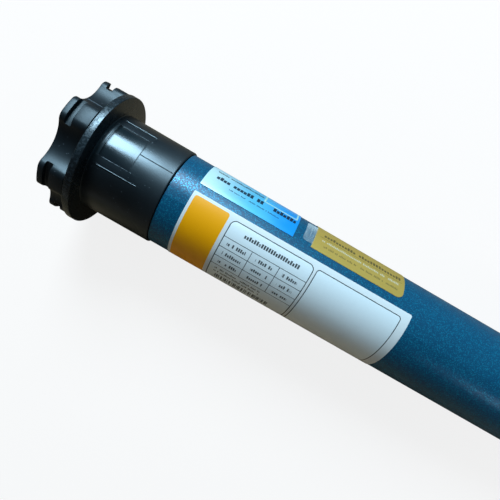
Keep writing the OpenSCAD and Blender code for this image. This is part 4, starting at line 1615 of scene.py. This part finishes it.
@dataclass
class Crown:
    """The sleeve with the tube-stop flange, which turns on the head and drives the turn counter.

    Attributes:
        teeth, tooth_points: Teeth in the bore, and points of a ring for each.
        module, pressure, flank_gap: Module, pressure angle and clearance of the teeth.
        addendum, dedendum: Height and depth of a tooth from the pitch circle, as shares of the module.
        band: Places along the axis between which the teeth lie.
        flange, flange_start: Radius and outer face of the flange.
        sleeve, end, bore: Radius, end and bore of the sleeve.
        pad, pad_angles, pad_depth: The smooth pad.
        rib_end, rib_span, rib: The low ribs beside the pad: end, width in degrees and height.
        ridges: Angle, start, end and height of each moulding line.
        ridge_step: Distance of the points across a moulding line, in degrees.
        edge, root, tip: Rounding of the flange, of its root and of the sleeve's end.
        mouth: Chamfer of the bore.
        stations: Places of the rings along the sleeve.
    """

    teeth: int = 88
    tooth_points: int = 8
    module: float = 0.5
    pressure: float = 20.0
    flank_gap: float = 0.05
    addendum: float = 0.95
    dedendum: float = 1.25
    band: Tuple[float, float] = (20.0, 26.0)
    flange: float = 31.5
    flange_start: float = -3.2
    sleeve: float = 23.25
    end: float = 33.5
    bore: float = 21.26
    pad: Tuple[float, float] = (2.5, 16.9)
    pad_angles: Tuple[float, float] = (0.6, 44.0)
    pad_depth: float = 0.1
    rib_end: float = 18.0
    rib_span: float = 10.0
    rib: float = 0.08
    ridges: Tuple[Tuple[float, float, float, float], ...] = CROWN_LINES
    ridge_step: float = 0.28
    edge: float = 0.3
    root: float = 0.25
    tip: float = 0.5
    mouth: float = 0.4
    stations: Tuple[float, ...] = (
        1.4, 2.3, 2.5, 2.7, 3.4, 3.6, 3.8, 4.0, 4.5, 4.8, 8.0, 12.0, 15.8, 16.2, 16.5, 16.85, 17.05, 17.4,
        17.8, 18.0, 18.2, 21.9, 22.3, 22.6, 27.0, 32.4, 32.7, 32.9,
    )

    def gather(self, angle: np.ndarray) -> np.ndarray:
        """Draw the nearest points of a ring together at each ridge.

        Args:
            angle: Angles of the ring's points.

        Returns:
            Their angles after the move.
        """
        turned = angle.copy()
        grid = 360 / (self.teeth * self.tooth_points)
        for at, *_ in self.ridges:
            off = (np.rint(angle / grid) - round(at / grid)).astype(int)
            near = np.abs(off) <= 2
            turned[near] = at + off[near] * self.ridge_step
        return turned

    def skin(self, x: float) -> Radius:
        """Outside of the sleeve: pad, ribs and moulding ridges.

        Args:
            x: Place along the axis.

        Returns:
            The radius as a function of the angle.
        """
        low, high = self.pad_angles

        def radius(angle: np.ndarray) -> np.ndarray:
            """Radius of the skin.

            Args:
                angle: Angles about the axis.

            Returns:
                The radius at each angle.
            """
            out = np.full(angle.shape, self.sleeve)
            if self.pad[0] <= x <= self.pad[1]:
                out[(angle > low) & (angle < high)] -= self.pad_depth
            if x <= self.rib_end:
                beside = (angle >= high) & (angle <= high + self.rib_span)
                beside |= (angle <= low) & (angle >= low - self.rib_span)
                out[beside] += self.rib
            for at, start, stop, height in self.ridges:
                if start <= x <= stop:
                    out += height * np.clip(1.25 - np.abs(angle - at) / self.ridge_step, 0, 1)
            return out

        return radius

    def tooth_turn(self, angle: np.ndarray) -> np.ndarray:
        """Put eight points of the ring on each tooth space: its bottom, its flanks and the land.

        Args:
            angle: Angles of the ring's points.

        Returns:
            Their angles after the move.
        """
        pitch, count = 360 / self.teeth, self.tooth_points
        step = np.rint(angle / (pitch / count)).astype(int)
        mouth, middle, bottom = self.flank()
        rising = [0, bottom, middle, mouth, pitch / 2]
        places = np.array(rising + [pitch - mouth, pitch - middle, pitch - bottom])
        return (step // count) * pitch + places[step % count]

    def flank(self) -> Tuple[float, float, float]:
        """Half the angle of a tooth space.

        Returns:
            Half the angle at its mouth, its middle and its bottom.
        """
        pressure = math.radians(self.pressure)
        pitch_r = self.teeth * self.module / 2

        def half(radius: float) -> float:
            """Half the angle at one radius.

            Args:
                radius: The radius.

            Returns:
                Half the angle, in degrees.
            """
            lean = math.acos(min(1.0, pitch_r * math.cos(pressure) / radius))
            roll = math.tan(pressure) - pressure - math.tan(lean) + lean
            return 90 / self.teeth + math.degrees(roll + self.flank_gap / radius)

        mouth, bottom = self.tooth_radii()
        return half(mouth), half((mouth + bottom) / 2), half(bottom)

    def tooth_radii(self) -> Tuple[float, float]:
        """Radius at the mouth and at the bottom of a tooth space."""
        pitch_r = self.teeth * self.module / 2
        return pitch_r - self.addendum * self.module, pitch_r + self.dedendum * self.module

    def tooth(self, angle: np.ndarray) -> np.ndarray:
        """Radius of the tooth band.

        Args:
            angle: Angles about the axis.

        Returns:
            The radius at each angle.
        """
        pitch = 360 / self.teeth
        off = np.abs((angle + pitch / 2) % pitch - pitch / 2)
        mouth, bottom = self.tooth_radii()
        half = self.flank()
        return np.interp(off, half[::-1], [bottom, (mouth + bottom) / 2, mouth])

    def rings(self) -> List[Ring]:
        """Section of the crown, from the flange over the sleeve and back through the bore.

        Returns:
            The rings of the section.
        """
        e, root, tip, face = self.edge, self.root, self.tip, self.flange_start
        section = arc_rings(face + e, self.flange - e, e, -90, 0)
        section += arc_rings(-e, self.flange - e, e, 0, 90)
        section += arc_rings(root, self.sleeve + root, -root, 90, 0)
        rings = [Ring(x, radius) for x, radius in section]
        rings += [Ring(x, self.skin(x), self.gather) for x in self.stations]
        rings += [Ring(x, radius) for x, radius in arc_rings(self.end - tip, self.sleeve - tip, tip, 0, 90)]
        rings += [Ring(self.end, self.bore + self.mouth), Ring(self.end - self.mouth, self.bore)]
        first, last = self.band
        rings += [Ring(last, self.bore), Ring(last, self.tooth, self.tooth_turn)]
        rings += [Ring(first, self.tooth, self.tooth_turn), Ring(first, self.bore)]
        rings += [Ring(face + self.mouth, self.bore), Ring(face, self.bore + self.mouth)]
        return rings

    def build(self) -> None:
        """Build and dress the crown."""
        piece = loft("crown_moulding", self.teeth * self.tooth_points, self.rings())
        hand_in(piece, Body.CROWN, Slot.CROWN, ["crown"])


@dataclass
class BrakeSpring:
    """Coil spring between the collar and the brake disc. The real spring shortens as the disc slides to the
    collar; this one keeps its length.

    Attributes:
        node, joint: CAD node that it stands for, and the brake's slide joint, which is not used.
        coil, wire: Radius of the coil and of the wire.
        turns, sides, steps: Turns, points round the wire, and steps in a turn.
        travel: How far the brake disc slides, which is not used.
    """

    node: str = "brake_spring"
    joint: str = "brake_slide"
    coil: float = 6.5
    wire: float = 0.7
    turns: int = 5
    sides: int = 12
    steps: int = 32
    travel: float = 0.6

    def winding(self, start: float, end: float) -> bpy.types.Object:
        """The wire, wound between two places along the axis and closed at its ends.

        Args:
            start: First place, in metres.
            end: Last place, in metres.

        Returns:
            The spring.
        """
        wire = self.wire * MM
        rest_bench()
        bpy.ops.mesh.primitive_circle_add(
            vertices=self.sides, radius=wire,
            location=(start + wire, 0, self.coil * MM), rotation=(math.pi / 2, 0, 0),
        )
        piece = bpy.context.object
        piece.name = "brake_coil"
        bpy.ops.object.transform_apply(location=True, rotation=True, scale=False)
        apply_modifier(piece, "SCREW", {
            "axis": "X",
            "angle": math.tau,
            "screw_offset": (end - start - 2 * wire) / self.turns,
            "iterations": self.turns,
            "steps": self.steps,
            "render_steps": self.steps,
        })
        with editing():
            bpy.ops.mesh.fill_holes(sides=self.sides)
        smooth(piece, 40.0)
        return piece

    def build(self) -> None:
        """Build and dress the spring."""
        low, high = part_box(self.node)
        piece = hand_in(self.winding(low[0], high[0]), Body.ROTOR, Slot.STEEL, [self.node])
        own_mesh(piece)


@dataclass(frozen=True)
class Film:
    """A thin film wrapped round the tube.

    Attributes:
        name: Name of the piece.
        start, length: Its place along the axis.
        low, high: Angles between which it lies.
        corners: Radii of its corners: low left, low right, high right, high left.
        radius, thickness: Inner radius and thickness.
        strip: Width of the strips that it is wrapped in.
    """

    name: str
    start: float
    length: float
    low: float
    high: float
    corners: Tuple[float, float, float, float]
    radius: float = 22.55
    thickness: float = 0.12
    strip: float = 0.6

    def build(self) -> bpy.types.Object:
        """The film: cut flat with round corners, ruled into strips, wrapped and given its thickness.

        Returns:
            The film.
        """
        arc = math.radians(self.radius)
        low, high = self.low * arc * MM, self.high * arc * MM
        left, right = self.start * MM, (self.start + self.length) * MM
        rest_bench()
        bpy.ops.mesh.primitive_plane_add(size=1, location=((left + right) / 2, (low + high) / 2, 0))
        piece = bpy.context.object
        piece.name = self.name
        piece.scale = (right - left, high - low, 1)
        bpy.ops.object.transform_apply(location=True, rotation=False, scale=True)
        places = (left, low), (right, low), (right, high), (left, high)
        for place, corner in zip(places, self.corners):
            points = piece.data.vertices
            pick(Element.CORNER, points, lambda point, at=place: math.dist(point.co.xy, at) < TOUCH)
            bevel(corner, 8, corners=True)
        strip = self.strip * MM
        with editing():
            for height in np.arange(low + strip, high - strip / 2, strip):
                bpy.ops.mesh.select_all(action="SELECT")
                bpy.ops.mesh.bisect(plane_co=(0, height, 0), plane_no=(0, 1, 0))
        for vertex in piece.data.vertices:
            angle = vertex.co.y / (self.radius * MM)
            vertex.co = (vertex.co.x, self.radius * MM * math.sin(angle), self.radius * MM * math.cos(angle))
        apply_modifier(piece, "SOLIDIFY", {"thickness": self.thickness * MM, "offset": 1.0})
        smooth(piece)
        return piece


@dataclass
class Labels:
    """Films on the tube: rating label, information sticker and the gold seal with its clear tab."""

    rating: Film = Film("rating_film", 44.1, 108.0, -96.0, 20.0, (0.8, 0.8, 0.8, 0.8))
    info: Film = Film("info_film", 44.3, 45.6, 30.3, 96.3, (0.15, 0.15, 0.15, 0.15))
    seal: Film = Film("seal_film", 98.8, 46.2, 30.6, 100.6, (0.4, 3.0, 3.0, 0.4))
    tab: Film = Film("seal_tab", 93.9, 5.3, 35.0, 70.0, (1.6, 0.1, 0.1, 1.6))

    def build(self) -> None:
        """Build and dress the films."""
        hand_in(self.rating.build(), Body.MOTOR, Slot.RATING, ["rating_label"])
        hand_in(self.info.build(), Body.MOTOR, Slot.INFO, ["info_sticker"])
        hand_in(self.seal.build(), Body.MOTOR, Slot.SEAL, ["seal_sticker"])
        hand_in(self.tab.build(), Body.MOTOR, Slot.SEAL, (), ClearFilm("clear_film"))


@dataclass
class CarriedNodes:
    """CAD nodes that keep their shape and get the finish of their slot."""

    frame: Dict[str, Any]

    def dress(self) -> None:
        """Give every node the finish of its slot."""
        for subpart in self.frame["record"]["subparts"]:
            node = self.frame["nodes"][subpart["node"]]
            for slot in node.material_slots:
                slot.material = material(FINISHES[Slot(subpart["material_slot"])])
        LOG.info("dressed %d CAD nodes", len(self.frame["nodes"]))


@dataclass(frozen=True)
class Lamp:
    """A square lamp that points at a place; lengths are in metres."""

    name: str
    place: Tuple[float, float, float]
    aim: Tuple[float, float, float]
    size: float
    watts: float
    colour: Tuple[float, float, float]
    spread: float = 180.0
    mirrored: bool = True


@dataclass
class Studio:
    """Floor, light and camera.

    Attributes:
        eye, tilt: Place of the camera, and its turn in degrees.
        lens, shift, sensor, clip: Focal length, shift, sensor width and near clip of the camera.
        floor_size, floor_height, floor_slope: Side (m), height and slope (degrees) of the floor.
        floor_colour, floor_bounce: Colour to the camera, and colours that light the part on the two sides.
        part_middle, part_half: Middle of the part and half its length, in metres.
        room_low, room_high: Colours of the room near the floor and above, on the -Y and the +Y side.
        lamps: The lamps.
    """

    eye: Tuple[float, float, float] = (75.18, 0.05, 210.25)
    tilt: Tuple[float, float, float] = (-4.827, -0.368, 29.877)
    lens: float = 31.78
    shift: Tuple[float, float] = (-0.0052, 0.0596)
    sensor: float = 36.0
    clip: float = 0.01
    floor_size: float = 30.0
    floor_height: float = -31.6
    floor_slope: float = 0.892
    floor_colour: Colour = (1.0, 0.88, 0.83, 1.0)
    floor_bounce: Tuple[Colour, Colour] = ((0.75, 0.5, 0.3, 1.0), (0.22, 0.34, 0.42, 1.0))
    part_middle: float = 0.295
    part_half: float = 0.31
    room_low: Tuple[Colour, Colour] = ((0.08, 0.066, 0.05, 1.0), (0.08, 0.22, 0.3, 1.0))
    room_high: Tuple[Colour, Colour] = ((0.035, 0.034, 0.032, 1.0), (0.14, 0.28, 0.37, 1.0))
    lamps: Tuple[Lamp, ...] = (
        Lamp("key", (-0.285, 0.71, 0.65), (0.015, 0.0, 0.02), 0.46, 14.6, (0.69, 0.88, 1.0)),
        Lamp("fill", (0.3, -1.1, 0.2), (0.25, 0.0, 0.0), 1.0, 1.1, (1.0, 0.74, 0.5), 180.0, False),
        Lamp("tail", (0.8, -0.42, 0.5), (0.53, 0.0, 0.0), 0.3, 0.45, (0.9, 0.95, 1.0), 28.0),
    )

    def camera(self) -> None:
        """Camera at the photograph's place."""
        data = bpy.data.cameras.new("view")
        data.lens = self.lens
        data.sensor_width = self.sensor
        data.shift_x, data.shift_y = self.shift
        data.clip_start = self.clip
        camera = bpy.data.objects.new("view", data)
        camera.location = [v * MM for v in self.eye]
        camera.rotation_euler = [math.radians(v) for v in self.tilt]
        bpy.context.scene.collection.objects.link(camera)
        bpy.context.scene.camera = camera

    def light(self) -> None:
        """Hang the lamps."""
        for lamp in self.lamps:
            data = bpy.data.lights.new(lamp.name, "AREA")
            data.size = lamp.size
            data.energy = lamp.watts
            data.color = lamp.colour
            data.spread = math.radians(lamp.spread)
            hung = bpy.data.objects.new(lamp.name, data)
            hung.location = lamp.place
            hung.visible_glossy = lamp.mirrored
            x, y, z = np.array(lamp.aim) - np.array(lamp.place)
            hung.rotation_euler = (math.atan2(math.hypot(x, y), -z), 0, math.atan2(-x, y))
            bpy.context.scene.collection.objects.link(hung)

    def sky(self) -> None:
        """Surroundings: white behind the object, and a dim room above it, a little warm on the -Y side."""
        world = bpy.data.worlds.new("room")
        world.use_nodes = True
        g = Graph(world.node_tree)
        x = g.node("ShaderNodeSeparateXYZ", None, {0: g.node("ShaderNodeTexCoord", output="Generated")})
        low = x.output("Z").rise(0.6, 0.1)
        side = x.output("Y").rise(-0.7, 0.7)
        tint = g.blend(low, g.blend(side, *self.room_high), g.blend(side, *self.room_low))
        room = g.node("ShaderNodeBackground", None, {"Color": tint, "Strength": 1.0})
        white = g.node("ShaderNodeBackground", None, {"Color": WHITE, "Strength": 1.0})
        ray = g.node("ShaderNodeLightPath", output="Is Camera Ray")
        mirror = ray.output("Is Glossy Ray") | ray.output("Is Transmission Ray")
        seen = ray | (mirror * x.output("Z").rise(0.06, 0.0) * (0.3 + side * 0.3))
        g.close("ShaderNodeOutputWorld", g.node("ShaderNodeMixShader", None, {0: seen, 1: room, 2: white}))
        bpy.context.scene.world = world

    def floor(self) -> None:
        """Wide pale floor that the flange and the far end of the tube rest on."""
        rest_bench()
        bpy.ops.mesh.primitive_plane_add(size=self.floor_size, location=(0, 0, self.floor_height * MM))
        floor = bpy.context.object
        floor.name = "floor"
        floor.rotation_euler = (0, -math.radians(self.floor_slope), 0)
        bpy.ops.object.transform_apply(location=True, rotation=True, scale=False)
        made = bpy.data.materials.new("floor_white")
        made.use_nodes = True
        g = Graph(made.node_tree)
        ray = g.node("ShaderNodeLightPath", output="Is Camera Ray")
        x = g.node("ShaderNodeSeparateXYZ", None, {0: g.node("ShaderNodeTexCoord", output="Object")})
        off = (((abs(x - self.part_middle) - self.part_half) | 0) ** 2 + x.output("Y") ** 2) ** 0.5
        mirror = ray.output("Is Glossy Ray") | ray.output("Is Transmission Ray")
        side = x.output("Y").rise(0.0, 0.2)
        haze = 0.84 + off.rise(0.2, 0.9) * 0.16
        seen = (ray * haze) | (mirror * off.rise(0.4, 2.0) * (0.3 + side * 0.3))
        bounce = g.blend(mirror * 0.6, g.blend(side, *self.floor_bounce), DARK)
        matt = g.node("ShaderNodeBsdfDiffuse", None, {"Color": g.blend(ray, bounce, self.floor_colour)})
        white = g.node("ShaderNodeEmission", None, {"Color": WHITE, "Strength": 1.0})
        both = g.node("ShaderNodeMixShader", None, {0: seen, 1: matt, 2: white})
        g.close("ShaderNodeOutputMaterial", both)
        floor.data.materials.append(made)

    def build(self) -> None:
        """Set up the studio."""
        bpy.context.scene.view_settings.view_transform = "Standard"
        self.camera()
        self.light()
        self.sky()
        self.floor()


def main() -> None:
    """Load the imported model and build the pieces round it."""
    logging.basicConfig(level=logging.INFO, format="%(message)s")
    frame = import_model()
    Studio().build()
    CarriedNodes(frame).dress()
    StarHead().build()
    Crown().build()
    Rivets().build()
    BrakeSpring().build()
    Labels().build()


if __name__ == "__main__":
    main()
